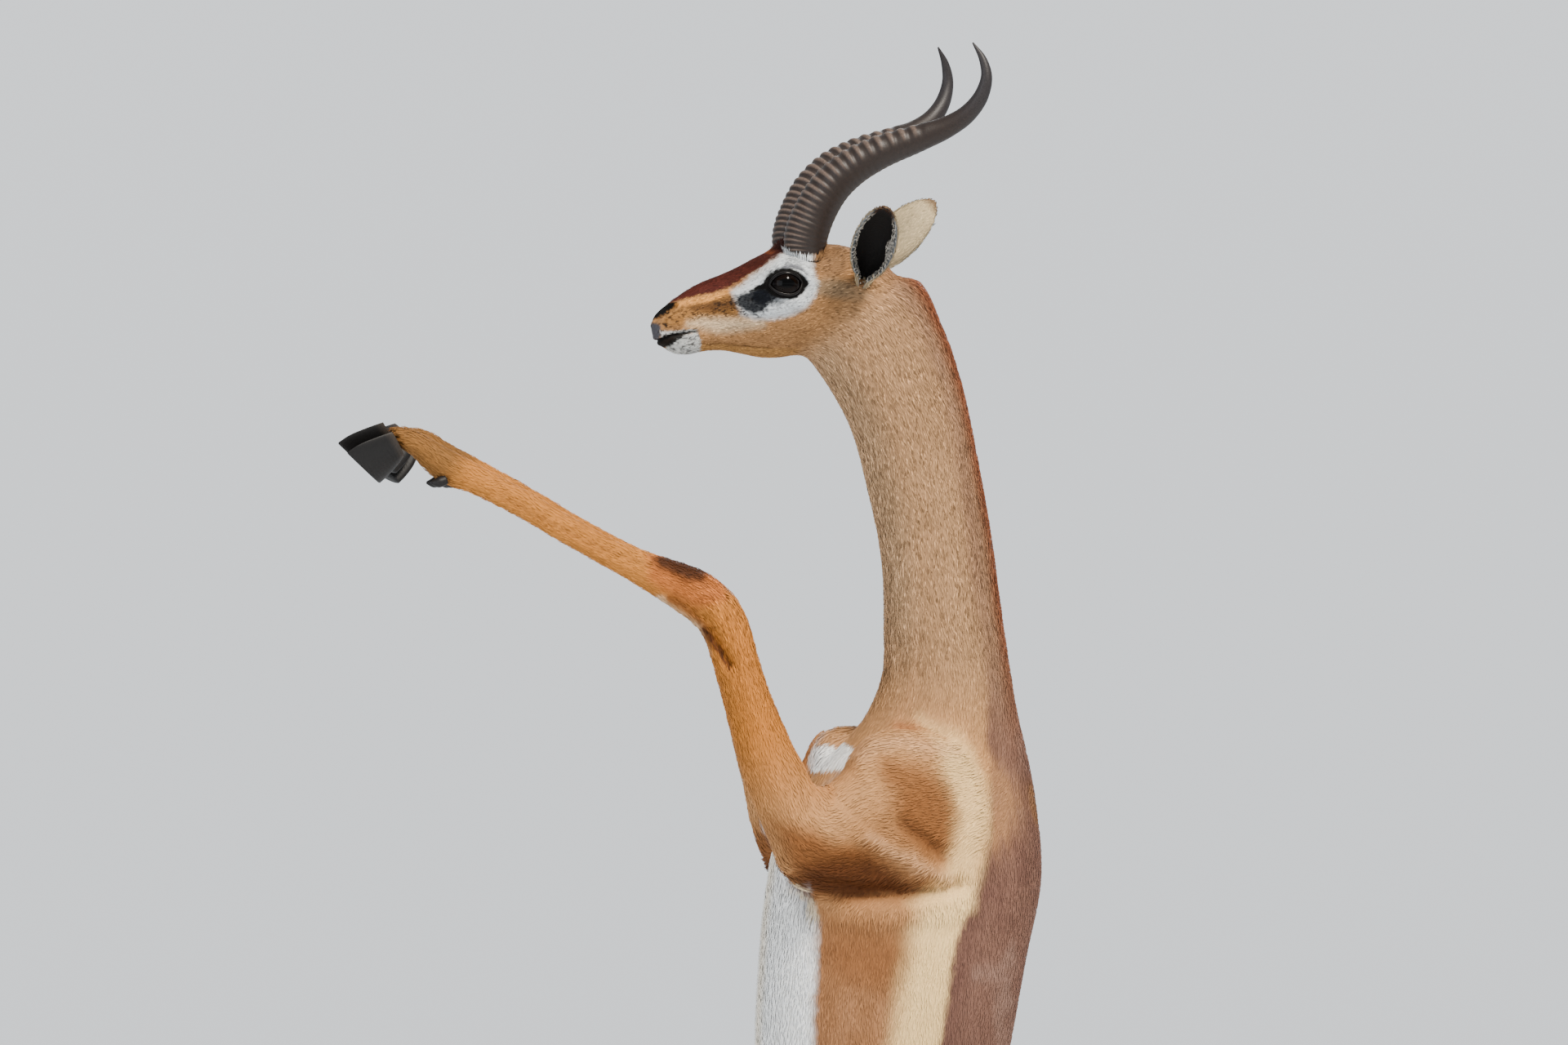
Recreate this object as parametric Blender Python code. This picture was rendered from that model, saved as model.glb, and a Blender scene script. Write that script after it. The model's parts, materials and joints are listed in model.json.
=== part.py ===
"""A male gerenuk standing upright on its hind legs, as a life-size still model on a plain base.

The animal faces -X and its mirror plane is XZ. Its left side is at -Y. Z is up, and the
origin is the middle of the base's underside. Run it with blender --background --python part.py.
"""
import math
from typing import NamedTuple

import bmesh
import bpy
import numpy as np
from mathutils import Matrix, Vector
from mathutils.bvhtree import BVHTree

COLLECTION = "gerenuk"
GAP = 0.0003
WELD = 0.00002
LEFT, RIGHT = -1, 1
SIDE_NAMES = {LEFT: "left", RIGHT: "right"}

BASE_LENGTH, BASE_WIDTH, BASE_HEIGHT = 0.64, 0.44, 0.03
BASE_CORNER, BASE_EDGE = 0.03, 0.003

# The head has a frame of its own: u runs back from the nose tip, v up from the same point.
NOSE_X, NOSE_Z = -0.2342, 1.8561
HEAD_PITCH = math.radians(15)

EYE_U, EYE_V, EYE_Y, EYE_RADIUS = 0.131, 0.010, 0.0345, 0.0165
LID_LENGTH, LID_HEIGHT, LID_TILT, LID_RADIUS = 0.0310, 0.0215, 0.10, 0.0026
LID_POINTS, LID_LEAST_OUT, LID_STAND_OUT, LID_FULLNESS = 16, 0.004, 0.0009, 0.25
EYE_SEGMENTS, EYE_RINGS = 16, 10
# The mouth's line on the side of the muzzle, as u and v, and the radius of its groove.
MOUTH_LINE = [(0.003, -0.0105), (0.014, -0.0118), (0.0265, -0.0097), (0.036, -0.0106), (0.0422, -0.0121)]
MOUTH_GROOVE = 0.0011
# Nostril and gland slits: u, v, half length, half height, half depth and pitch in degrees.
HEAD_SLITS = [(0.0155, 0.0120, 0.0078, 0.0024, 0.0040, 24), (0.0930, 0.0040, 0.0060, 0.0018, 0.0030, 12)]
HEAD_RELIEF_FADE = 0.012
# How the skull and its muscles shape the sides: u, v, reach along u and v, and how far out.
HEAD_RELIEF = [
    (0.131, 0.010, 0.024, 0.020, 0.0045),
    (0.136, 0.032, 0.022, 0.010, 0.0050),
    (0.098, 0.010, 0.016, 0.012, -0.0018),
    (0.116, -0.012, 0.030, 0.009, 0.0030),
    (0.155, -0.030, 0.026, 0.020, 0.0030),
    (0.172, 0.018, 0.015, 0.016, -0.0030),
    (0.085, -0.022, 0.020, 0.012, -0.0012),
    (0.016, 0.009, 0.010, 0.007, 0.0020),
    (0.024, -0.025, 0.014, 0.007, 0.0010),
]

EAR_LENGTH, EAR_WIDTH, EAR_WALL = 0.119, 0.0455, 0.0030
EAR_STATIONS, EAR_ACROSS = 11, 9
EAR_SEAT, EAR_TIP_BEND = 0.55, 0.008
# Shares of the ear's length, its half width there, and how far each side curls round in degrees.
EAR_ALONG = [0.0, 0.12, 0.30, 0.50, 0.70, 0.86, 0.96, 1.0]
EAR_HALF = [0.32, 0.44, 0.78, 1.0, 0.93, 0.66, 0.34, 0.12]
EAR_WRAP = [160, 148, 112, 84, 66, 54, 46, 40]
# Each ear's root in the head's frame, its direction and the way its cup opens.
EAR_PLACES = {
    LEFT: ((0.208, -0.007, -0.033), (-0.01, -0.79, 0.61), (-0.46, -0.62, -0.63)),
    RIGHT: ((0.2185, -0.004, 0.030), (0.74, 0.22, 0.63), (-0.03, 0.95, -0.29)),
}

HORN_RINGS, HORN_RING_FIRST, HORN_RING_LAST = 20, 0.0068, 0.0128
HORN_RING_RISE, HORN_RING_DIP, HORN_FRONT_SHARE = 0.0014, 0.0004, 0.6
# The rings fade out over a length that ends a little past the last of them.
HORN_FADE_PAST, HORN_FADE_LENGTH = 0.02, 0.06
# Where the plain base's own ring lies, and where the hollow before each crest lies.
HORN_BASE_SHARE, HORN_HOLLOW_SHARE = 0.6, 0.4
HORN_PLAIN_BASE, HORN_TIP_RINGS, HORN_SIDES, HORN_FLATNESS = 0.021, 9, 10, 0.84

# How much further back the right foreleg is held than the left one, and less at its elbow.
RIGHT_ELBOW_BACK, RIGHT_FORELEG_BACK = [0.028, 0.031, 0.0410], 0.0415

MATT = 0.8
SHINE = {"eye": 0.1, "hoof": 0.4, "horn": 0.45}
SHARP_FLESH, SHARP_HOOF, SHARP_HORN = math.radians(40), math.radians(50), math.radians(60)
COAT = {
    "tan": (0.42, 0.20, 0.09),
    "saddle": (0.24, 0.11, 0.07),
    "leg_tan": (0.48, 0.24, 0.10),
    "horn": (0.09, 0.065, 0.05),
    "hoof": (0.03, 0.028, 0.027),
    "eye": (0.01, 0.006, 0.004),
    "ear": (0.45, 0.33, 0.22),
    "base": (0.32, 0.30, 0.28),
}

# How finely each form is drawn: rings along it and points round each, and its rounded ends.
CAP_RINGS = 2
TRUNK_DRAWN = {"rings": 34, "sides": 24, "start_cap": 0.03, "end_cap": 0.02}
HEAD_DRAWN = {"rings": 32, "sides": 26, "start_cap": 0.006, "end_cap": 0.02}
FORELEG_DRAWN = {"rings": 34, "sides": 12, "start_cap": 0.02}
HINDLEG_DRAWN = {"rings": 32, "sides": 12, "start_cap": 0.03}


class Section(NamedTuple):
    """One cross-section of a body form, in metres.

    front and back are (x, z) points on its belly or shin side and on its spine or tendon side.
    widest is how far from front to back its greatest width lies, and power is its squareness.
    """

    front: tuple
    back: tuple
    half_width: float
    y: float = 0.0
    widest: float = 0.5
    power: float = 2.0


def head_xz(u, v):
    """The (x, z) point of the head frame's u and v."""
    cos, sin = math.cos(HEAD_PITCH), math.sin(HEAD_PITCH)
    return NOSE_X + cos * u - sin * v, NOSE_Z + sin * u + cos * v


def head_point(u, v, y):
    x, z = head_xz(u, v)
    return Vector((x, y, z))


TRUNK = [
    Section((0.010, 0.790), (0.085, 0.785), 0.040),
    Section((-0.045, 0.840), (0.118, 0.822), 0.078),
    Section((-0.078, 0.900), (0.131, 0.885), 0.096),
    Section((-0.100, 0.965), (0.131, 0.955), 0.096),
    Section((-0.116, 1.030), (0.117, 1.030), 0.090),
    Section((-0.125, 1.100), (0.110, 1.110), 0.094, widest=0.52),
    Section((-0.129, 1.174), (0.123, 1.180), 0.103, widest=0.54),
    Section((-0.126, 1.245), (0.138, 1.260), 0.106, widest=0.56),
    Section((-0.120, 1.314), (0.153, 1.330), 0.100, widest=0.55, power=1.95),
    Section((-0.104, 1.385), (0.150, 1.400), 0.085, widest=0.52, power=1.9),
    Section((-0.066, 1.440), (0.140, 1.455), 0.071, widest=0.48, power=1.9),
    Section((-0.026, 1.482), (0.131, 1.492), 0.060, widest=0.46, power=1.9),
    Section((-0.006, 1.522), (0.1235, 1.534), 0.052, widest=0.46, power=1.95),
    Section((-0.003, 1.575), (0.115, 1.588), 0.0475, widest=0.47),
    Section((-0.006, 1.640), (0.105, 1.660), 0.045),
    Section((-0.020, 1.706), (0.092, 1.732), 0.0445),
    Section((-0.039, 1.770), (0.074, 1.812), 0.046),
    Section((-0.064, 1.812), (0.056, 1.862), 0.047),
    Section((-0.086, 1.838), (0.033, 1.904), 0.042),
    Section((-0.100, 1.860), (0.004, 1.918), 0.030),
]


def head_section(u, low, high, half_width, widest=0.55, power=2.0):
    return Section(head_xz(u, low), head_xz(u, high), half_width, widest=widest, power=power)


HEAD = [
    head_section(0.001, -0.0150, 0.006, 0.0085),
    head_section(0.008, -0.0205, 0.0125, 0.0135, power=2.2),
    head_section(0.018, -0.029, 0.0180, 0.0165, power=2.2),
    head_section(0.030, -0.0335, 0.0225, 0.0172, power=2.2),
    head_section(0.045, -0.0345, 0.0280, 0.0175, power=2.2),
    head_section(0.062, -0.0375, 0.0318, 0.0195, power=2.15),
    head_section(0.080, -0.0455, 0.0336, 0.0245, widest=0.58, power=2.0),
    head_section(0.100, -0.0550, 0.0366, 0.0320, widest=0.62, power=1.9),
    head_section(0.120, -0.0600, 0.0410, 0.0410, widest=0.66, power=1.85),
    head_section(0.138, -0.0625, 0.0435, 0.0455, widest=0.67, power=1.85),
    head_section(0.158, -0.0620, 0.0430, 0.0430, widest=0.64, power=1.9),
    head_section(0.182, -0.0560, 0.0385, 0.0400, widest=0.58),
    head_section(0.208, -0.0440, 0.0300, 0.0370, widest=0.55),
    head_section(0.232, -0.0300, 0.0150, 0.0300),
    head_section(0.250, -0.0180, -0.0020, 0.0130),
]

# The left foreleg, from inside the shoulder out to the coronet, as it reaches forward and up.
SHOULDER = [
    Section((0.100, 1.436), (0.106, 1.362), 0.022, 0.020),
    Section((0.062, 1.464), (0.068, 1.330), 0.036, 0.045),
    Section((0.034, 1.476), (0.038, 1.318), 0.041, 0.057),
    Section((0.004, 1.480), (0.006, 1.314), 0.043, 0.064),
    Section((-0.038, 1.472), (-0.042, 1.313), 0.042, 0.069),
]
FORELEG = [
    Section((-0.066, 1.436), (-0.083, 1.314), 0.040, 0.075),
    Section((-0.088, 1.424), (-0.1175, 1.328), 0.036, 0.082),
    Section((-0.1037, 1.4466), (-0.1401, 1.372), 0.033, 0.084),
    Section((-0.1221, 1.4817), (-0.1641, 1.430), 0.028, 0.085),
    Section((-0.1396, 1.5246), (-0.1816, 1.497), 0.0235, 0.084),
    Section((-0.1496, 1.5597), (-0.1972, 1.548), 0.0205, 0.082),
    Section((-0.1588, 1.5886), (-0.2032, 1.5636), 0.0205, 0.080, power=2.2),
    Section((-0.1715, 1.6073), (-0.2127, 1.5761), 0.0205, 0.077, power=2.2),
    Section((-0.1952, 1.6260), (-0.2243, 1.5847), 0.0190, 0.074, power=2.2),
    Section((-0.2214, 1.6369), (-0.2416, 1.5964), 0.0160, 0.072, power=2.2),
    Section((-0.2572, 1.6478), (-0.2750, 1.6166), 0.0135, 0.070, power=2.2),
    Section((-0.3211, 1.6790), (-0.3373, 1.6510), 0.0120, 0.067, power=2.2),
    Section((-0.3688, 1.7063), (-0.3833, 1.6775), 0.0120, 0.065, power=2.2),
    Section((-0.4086, 1.7274), (-0.4248, 1.6978), 0.0135, 0.063),
    Section((-0.4311, 1.7391), (-0.4504, 1.7071), 0.0165, 0.062),
    Section((-0.4525, 1.7500), (-0.4711, 1.7219), 0.0140, 0.061),
    Section((-0.4800, 1.7645), (-0.4800, 1.7345), 0.0155, 0.0605),
    Section((-0.5075, 1.7660), (-0.4890, 1.7370), 0.0190, 0.060),
]
# The right upper arm's own last two sections, in place of the left one's.
RIGHT_UPPER_ARM = [
    Section((-0.027, 1.480), (-0.034, 1.313), 0.042, 0.069),
    Section((-0.056, 1.460), (-0.071, 1.320), 0.040, 0.075),
]

# A hind leg, from inside the haunch down to the coronet, with the foot under the hip.
HINDLEG = [
    Section((-0.020, 1.050), (0.075, 1.030), 0.026, 0.040),
    Section((-0.056, 0.970), (0.108, 0.950), 0.044, 0.050),
    Section((-0.078, 0.895), (0.127, 0.872), 0.055, 0.060),
    Section((-0.092, 0.830), (0.124, 0.805), 0.056, 0.070),
    Section((-0.104, 0.765), (0.088, 0.738), 0.050, 0.080),
    Section((-0.111, 0.710), (0.046, 0.690), 0.042, 0.088),
    Section((-0.110, 0.662), (0.016, 0.648), 0.035, 0.093),
    Section((-0.086, 0.608), (0.016, 0.594), 0.030, 0.096),
    Section((-0.049, 0.545), (0.034, 0.526), 0.025, 0.099),
    Section((-0.008, 0.482), (0.062, 0.462), 0.0195, 0.102),
    Section((0.022, 0.438), (0.090, 0.424), 0.0175, 0.104),
    Section((0.037, 0.405), (0.103, 0.402), 0.0190, 0.105, power=2.2),
    Section((0.043, 0.370), (0.096, 0.366), 0.0185, 0.106, power=2.2),
    Section((0.046, 0.325), (0.083, 0.322), 0.0145, 0.107, power=2.2),
    Section((0.041, 0.240), (0.073, 0.240), 0.0125, 0.110, power=2.2),
    Section((0.034, 0.170), (0.066, 0.170), 0.0130, 0.113),
    Section((0.024, 0.133), (0.066, 0.126), 0.0168, 0.115),
    Section((0.006, 0.102), (0.043, 0.090), 0.0145, 0.117),
    Section((-0.0115, 0.0760), (0.0315, 0.0623), 0.0195, 0.118),
]
# Each hind foot's shift fore and aft, so that the stance isn't a mirror image.
HIND_STEP = {LEFT: -0.012, RIGHT: 0.012}
HIP_Z = 0.945

# Where thin cuts part the body: front and back ends of the plane, and the plate's half sizes.
HEAD_CUT = ((-0.078, 1.8130), (0.040, 1.8930), 0.085, 0.075)
NECK_CUT = ((-0.030, 1.4780), (0.128, 1.5250), 0.100, 0.090)
# Cuts across a leg: the section before it, the share of the way to the next, and its reach.
FORELEG_CUTS = [(1, 0.85, 0.060), (7, 0.10, 0.040), (13, 0.60, 0.035)]
FORELEG_NAMES = ["forearm", "fore_cannon", "fore_pastern"]
FORE_FETLOCK = 14
HIP_CUT_CENTRE, HIP_CUT_RISE, HIP_CUT_REACH = (0.012, 0.062, 0.842), math.radians(46), (0.150, 0.088)
HINDLEG_CUTS = [(5, 0.70, 0.085), (11, 0.10, 0.050), (15, 0.60, 0.035)]
HINDLEG_NAMES = ["thigh", "shank", "hind_cannon", "hind_pastern"]
HIND_FETLOCK = 16
# The thigh lies between its hip cut and its stifle cut, from this section of the hind leg on.
THIGH_FIRST = 4
INSIDE = {"head": (-0.116, 0.0, 1.877), "neck": (0.045, 0.0, 1.660), "torso": (0.0, 0.0, 1.200)}

# A dewclaw's distance from the leg's middle, how deep it starts, its length and its slant.
DEWCLAW_SPREAD, DEWCLAW_DEPTH, DEWCLAW_LENGTH, DEWCLAW_DROP = 0.0085, 0.006, 0.010, 0.011
DEWCLAW_START_DOWN, DEWCLAW_SPLAY, DEWCLAW_BULGE = 0.002, 0.001, 0.0015
DEWCLAW_RADII = [0.0045, 0.0048, 0.0012]

# One claw of a hoof from its sole up: height at toe and heel, x at toe and heel, half width.
CLAW_LAYERS = [
    (0.0000, 0.0000, -0.0360, 0.0250, 0.0102),
    (0.0140, 0.0100, -0.0315, 0.0255, 0.0105),
    (0.0300, 0.0220, -0.0215, 0.0245, 0.0101),
    (0.0436, 0.0333, -0.0115, 0.0215, 0.0092),
]
CLAW_SIDES, CLAW_POINT, CLAW_INNER_SHARE, CLAW_OFFSET = 12, 0.25, 0.70, 0.0084
FORE_HOOF_PITCH, FORE_HOOF_ROLL, FORE_HOOF_GAP = math.radians(40), math.radians(40), 0.0005

TAIL_PATH = [
    (0.100, 0.000, 0.972),
    (0.140, 0.004, 0.950),
    (0.158, 0.008, 0.890),
    (0.158, 0.010, 0.800),
    (0.150, 0.010, 0.735),
]
TAIL_RADII = [0.019, 0.0145, 0.0105, 0.009, 0.0075]
TAIL_LOCKS, TAIL_BARE, TAIL_LAST_LOCK, TAIL_LOCK_TURN = 11, 0.55, 0.97, 2.4
TAIL_LOCK_LENGTH, TAIL_LOCK_SPREAD, TAIL_LOCK_ROOT = 0.075, 0.013, 0.003
TAIL_LOCK_RADII = [0.0048, 0.0060, 0.0042, 0.0008]
# A lock's points: the share of its spread and of its length; and how much the last lock is less.
TAIL_LOCK_RUN = [(1.0, 0.40), (1.0, 0.75), (0.7, 1.0)]
TAIL_LOCK_SHORTER, TAIL_LOCK_NARROWER = 0.2, 0.4

# The right horn's middle line from inside the skull to its tip, and its radii.
HORN_PATH = [
    (-0.0846, 0.0195, 1.9220),
    (-0.0860, 0.0215, 1.9390),
    (-0.0770, 0.0262, 1.9694),
    (-0.0620, 0.0310, 1.9938),
    (-0.0432, 0.0352, 2.0110),
    (-0.0226, 0.0392, 2.0228),
    (0.0215, 0.0470, 2.0398),
    (0.0444, 0.0540, 2.0492),
    (0.0636, 0.0610, 2.0624),
    (0.0758, 0.0660, 2.0796),
    (0.0803, 0.0680, 2.0988),
    (0.0772, 0.0660, 2.1140),
    (0.0687, 0.0610, 2.1300),
]
HORN_RADII = [
    0.0172, 0.0204, 0.0202, 0.0190, 0.0178, 0.0163, 0.0128,
    0.0105, 0.0088, 0.0072, 0.0054, 0.0038, 0.0008,
]


def new_object(name, mesh):
    obj = bpy.data.objects.new(name, mesh)
    bpy.context.scene.collection.objects.link(obj)
    return obj


def mesh_object(name, points, faces):
    mesh = bpy.data.meshes.new(name)
    mesh.from_pydata([tuple(p) for p in points], [], faces)
    mesh.update()
    return new_object(name, mesh)


def material(name, colour, roughness, metallic=0.0):
    made = bpy.data.materials.new(name)
    made.use_nodes = True
    shader = made.node_tree.nodes["Principled BSDF"]
    shader.inputs["Base Color"].default_value = (*colour, 1.0)
    shader.inputs["Roughness"].default_value = roughness
    shader.inputs["Metallic"].default_value = metallic
    made.diffuse_color = (*colour, 1.0)
    return made


def smooth_curve(knots, values, at):
    """Cubic interpolation of rows of values, with slopes from each knot's two neighbours."""
    knots, values, at = np.asarray(knots, float), np.asarray(values, float), np.asarray(at, float)
    step = np.diff(knots)[:, None]
    rise = np.diff(values, axis=0) / step
    slope = np.empty_like(values)
    slope[0], slope[-1] = rise[0], rise[-1]
    slope[1:-1] = (rise[:-1] * step[1:] + rise[1:] * step[:-1]) / (step[1:] + step[:-1])
    i = np.clip(np.searchsorted(knots, at, side="right") - 1, 0, len(knots) - 2)
    h = step[i]
    t = ((at - knots[i])[:, None]) / h
    return (
        (2 * t**3 - 3 * t**2 + 1) * values[i]
        + (t**3 - 2 * t**2 + t) * h * slope[i]
        + (3 * t**2 - 2 * t**3) * values[i + 1]
        + (t**3 - t**2) * h * slope[i + 1]
    )


def ring_places(count, length, start_cap, end_cap):
    """Even places along a loft, closer together over the rounded ends."""
    body = np.linspace(start_cap, length - end_cap, count)
    rise = 1 - np.cos(np.linspace(0, math.pi / 2, CAP_RINGS + 2)[1:-1])
    start = start_cap * rise if start_cap else []
    end = length - end_cap * rise[::-1] if end_cap else []
    return np.concatenate([start, body, end])


def loft(name, sections, rings, sides, side=RIGHT, start_cap=0.0, end_cap=0.0):
    """A closed skin over sections: superellipse rings on a smooth path, with rounded ends.

    A ring's point at angle a is its widest line's middle, plus cos a towards back or front and
    sin a sideways, each raised to 2 / power.
    """
    rows = np.array([[*s.front, *s.back, s.y * side, s.half_width, s.widest, s.power] for s in sections])
    middle = (rows[:, 0:2] + rows[:, 2:4]) / 2
    knots = np.concatenate([[0], np.cumsum(np.linalg.norm(np.diff(middle, axis=0), axis=1))])
    places = ring_places(rings, knots[-1], start_cap, end_cap)
    values = smooth_curve(knots, rows, places)
    size = np.ones(len(places))
    if start_cap:
        size *= np.sqrt(1 - (1 - np.clip(places / start_cap, 0, 1)) ** 2)
    if end_cap:
        size *= np.sqrt(1 - (1 - np.clip((knots[-1] - places) / end_cap, 0, 1)) ** 2)
    angle = np.linspace(0, 2 * math.pi, sides, endpoint=False)
    power = 2 / values[:, 7:8]
    along = np.sign(np.cos(angle)) * np.abs(np.cos(angle)) ** power
    across = np.sign(np.sin(angle)) * np.abs(np.sin(angle)) ** power
    front, back = values[:, 0:2], values[:, 2:4]
    waist = front + (back - front) * values[:, 6:7]
    reach = np.where(along[..., None] > 0, (back - waist)[:, None], (waist - front)[:, None])
    flat = waist[:, None] + along[..., None] * reach * size[:, None, None]
    y = values[:, 4:5] + across * values[:, 5:6] * size[:, None]
    points = np.stack([flat[..., 0], y, flat[..., 1]], axis=-1).reshape(-1, 3)
    ends = smooth_curve(knots, rows, [0, knots[-1]])
    tips = [[(e[0] + e[2]) / 2, e[4], (e[1] + e[3]) / 2] for e in ends]
    return mesh_object(name, [*points, *tips], tube_faces(len(places), sides))


def tube_faces(rings, sides):
    """Quads round a tube, and a fan over each end to a last pair of points."""
    faces = []
    for ring in range(rings - 1):
        for i in range(sides):
            j = (i + 1) % sides
            low, high = ring * sides, (ring + 1) * sides
            faces.append((low + i, low + j, high + j, high + i))
    top, first, last = (rings - 1) * sides, rings * sides, rings * sides + 1
    for i in range(sides):
        j = (i + 1) % sides
        faces.append((first, j, i))
        faces.append((last, top + i, top + j))
    return faces


def outward(obj):
    """Turns a closed mesh's faces outwards."""
    edit = bmesh.new()
    edit.from_mesh(obj.data)
    bmesh.ops.recalc_face_normals(edit, faces=edit.faces)
    edit.to_mesh(obj.data)
    edit.free()
    return obj


def path_tube(name, path, radii, rings, sides, flatten=1.0, ridge=None):
    """A closed tube of changing radius along a smooth path. ridge(s, angle) adds to the radius."""
    path, radii = np.array(path, float), np.array(radii, float)
    knots = np.concatenate([[0], np.cumsum(np.linalg.norm(np.diff(path, axis=0), axis=1))])
    places = np.minimum(rings, knots[-1]) if np.ndim(rings) else np.linspace(0, knots[-1], rings)
    line = smooth_curve(knots, path, places)
    tangent = np.gradient(line, places, axis=0)
    tangent /= np.linalg.norm(tangent, axis=1)[:, None]
    sideways = np.cross(tangent, np.cross([0.0, 1.0, 0.0], tangent))
    sideways /= np.linalg.norm(sideways, axis=1)[:, None]
    upper = np.cross(tangent, sideways)
    angle = np.linspace(0, 2 * math.pi, sides, endpoint=False)
    radius = smooth_curve(knots, radii[:, None], places)[:, :1] * np.ones((1, sides))
    if ridge is not None:
        radius = radius + ridge(places[:, None], angle[None, :])
    points = (
        line[:, None]
        + upper[:, None] * (np.cos(angle) * radius)[..., None]
        + sideways[:, None] * (np.sin(angle) * radius * flatten)[..., None]
    ).reshape(-1, 3)
    return outward(mesh_object(name, [*points, line[0], line[-1]], tube_faces(len(places), sides)))


def boolean(obj, others, operation):
    """Joins others to obj, or cuts them from it, with one modifier that is applied."""
    group = bpy.data.collections.new("operands")
    bpy.context.scene.collection.children.link(group)
    for other in others:
        group.objects.link(other)
    modifier = obj.modifiers.new("Boolean", "BOOLEAN")
    modifier.operation = operation
    modifier.operand_type = "COLLECTION"
    modifier.collection = group
    modifier.solver = "EXACT"
    apply_modifiers(obj)
    bpy.data.collections.remove(group)
    for other in others:
        bpy.data.objects.remove(other)
    return obj


def apply_modifiers(obj):
    bpy.context.view_layer.update()
    graph = bpy.context.evaluated_depsgraph_get()
    mesh = bpy.data.meshes.new_from_object(obj.evaluated_get(graph))
    obj.modifiers.clear()
    obj.data = mesh
    return obj


def grown(obj, by):
    """A copy of obj whose surface stands out by a little more, to cut what grows from obj."""
    copy = new_object("grown", obj.data.copy())
    for vertex, normal in zip(copy.data.vertices, [v.normal.copy() for v in obj.data.vertices]):
        vertex.co += normal * by
    return copy


def loose_parts(obj):
    """Splits obj's mesh into its closed surfaces, largest first, and removes obj."""
    edit = bmesh.new()
    edit.from_mesh(obj.data)
    bmesh.ops.remove_doubles(edit, verts=edit.verts, dist=WELD)
    bmesh.ops.triangulate(edit, faces=edit.faces)
    seen, groups = set(), []
    for start in edit.verts:
        if start in seen:
            continue
        stack, group = [start], []
        seen.add(start)
        while stack:
            vertex = stack.pop()
            group.append(vertex)
            for edge in vertex.link_edges:
                other = edge.other_vert(vertex)
                if other not in seen:
                    seen.add(other)
                    stack.append(other)
        groups.append(group)
    groups.sort(key=len, reverse=True)
    parts = []
    for group in groups:
        index = {vertex: i for i, vertex in enumerate(group)}
        faces = {face for vertex in group for face in vertex.link_faces}
        corners = [[index[v] for v in face.verts] for face in sorted(faces, key=lambda face: face.index)]
        parts.append(mesh_object("part", [v.co.copy() for v in group], corners))
    edit.free()
    bpy.data.objects.remove(obj)
    return parts


def keep_largest(obj, name):
    parts = loose_parts(obj)
    for scrap in parts[1:]:
        bpy.data.objects.remove(scrap)
    parts[0].name = name
    return parts[0]


def finish(obj, made_of, sharp=SHARP_FLESH):
    """Gives a part its material and shading, and puts it with the animal's other parts."""
    obj.data.materials.clear()
    obj.data.materials.append(made_of)
    obj.data.shade_smooth()
    obj.data.set_sharp_from_angle(angle=sharp)
    for collection in list(obj.users_collection):
        collection.objects.unlink(obj)
    bpy.data.collections[COLLECTION].objects.link(obj)
    obj.parent = bpy.data.objects[COLLECTION]
    return obj


def plate(centre, normal, half_length, half_width):
    """A thin plate across a limb, used as a cutter. Its width runs along Y as nearly as it can."""
    bpy.ops.mesh.primitive_cube_add(size=1.0)
    made = bpy.context.object
    facing = Vector(normal).normalized()
    along = Vector((0, 1, 0)).cross(facing).normalized()
    across = facing.cross(along)
    turn = Matrix((along, across, facing)).transposed().to_4x4()
    size = Matrix.Diagonal((2 * half_length, 2 * half_width, GAP, 1))
    made.data.transform(Matrix.Translation(centre) @ turn @ size)
    return made


def ball(centre, radius, segments, rings, scale=(1, 1, 1), pitch=0.0):
    """A ball, or an ellipsoid whose own axes are turned up at its front by pitch."""
    bpy.ops.mesh.primitive_uv_sphere_add(segments=segments, ring_count=rings, radius=radius)
    made = bpy.context.object
    turn = Matrix.Rotation(-pitch, 4, "Y")
    made.data.transform(Matrix.Translation(centre) @ turn @ Matrix.Diagonal((*scale, 1)))
    return made


def curve_tube(points, radius, cyclic=False):
    """A closed mesh tube along points, such as a lid's rim or the cutter of the mouth's line."""
    curve = bpy.data.curves.new("tube", "CURVE")
    curve.dimensions = "3D"
    curve.bevel_depth = radius
    curve.bevel_resolution = 0
    curve.use_fill_caps = not cyclic
    spline = curve.splines.new("POLY")
    spline.points.add(len(points) - 1)
    for point, place in zip(spline.points, points):
        point.co = (*place, 1.0)
    spline.use_cyclic_u = cyclic
    line = new_object("tube", curve)
    bpy.context.view_layer.update()
    mesh = bpy.data.meshes.new_from_object(line.evaluated_get(bpy.context.evaluated_depsgraph_get()))
    bpy.data.objects.remove(line)
    edit = bmesh.new()
    edit.from_mesh(mesh)
    bmesh.ops.remove_doubles(edit, verts=edit.verts, dist=WELD)
    edit.to_mesh(mesh)
    edit.free()
    return outward(new_object("tube", mesh))


def shifted(section, dx):
    (front_x, front_z), (back_x, back_z) = section.front, section.back
    return section._replace(front=(front_x + dx, front_z), back=(back_x + dx, back_z))


def foreleg_sections(side):
    """The shoulder and foreleg of one side. The right leg is held a little further back."""
    if side == LEFT:
        return SHOULDER + FORELEG
    back = [*RIGHT_ELBOW_BACK, *[RIGHT_FORELEG_BACK] * (len(FORELEG) - 1 - len(RIGHT_ELBOW_BACK))]
    return SHOULDER[:-1] + RIGHT_UPPER_ARM + [shifted(s, dx) for s, dx in zip(FORELEG[1:], back)]


def hindleg_sections(side):
    """A hind leg leaned from the hip so that its foot takes its own step."""
    ankle_z = midpoint(HINDLEG[-1])[1]
    step = HIND_STEP[side] / (HIP_Z - ankle_z)
    return [shifted(s, step * min(HIP_Z - midpoint(s)[1], HIP_Z - ankle_z)) for s in HINDLEG]


def midpoint(section):
    return (section.front[0] + section.back[0]) / 2, (section.front[1] + section.back[1]) / 2


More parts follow.
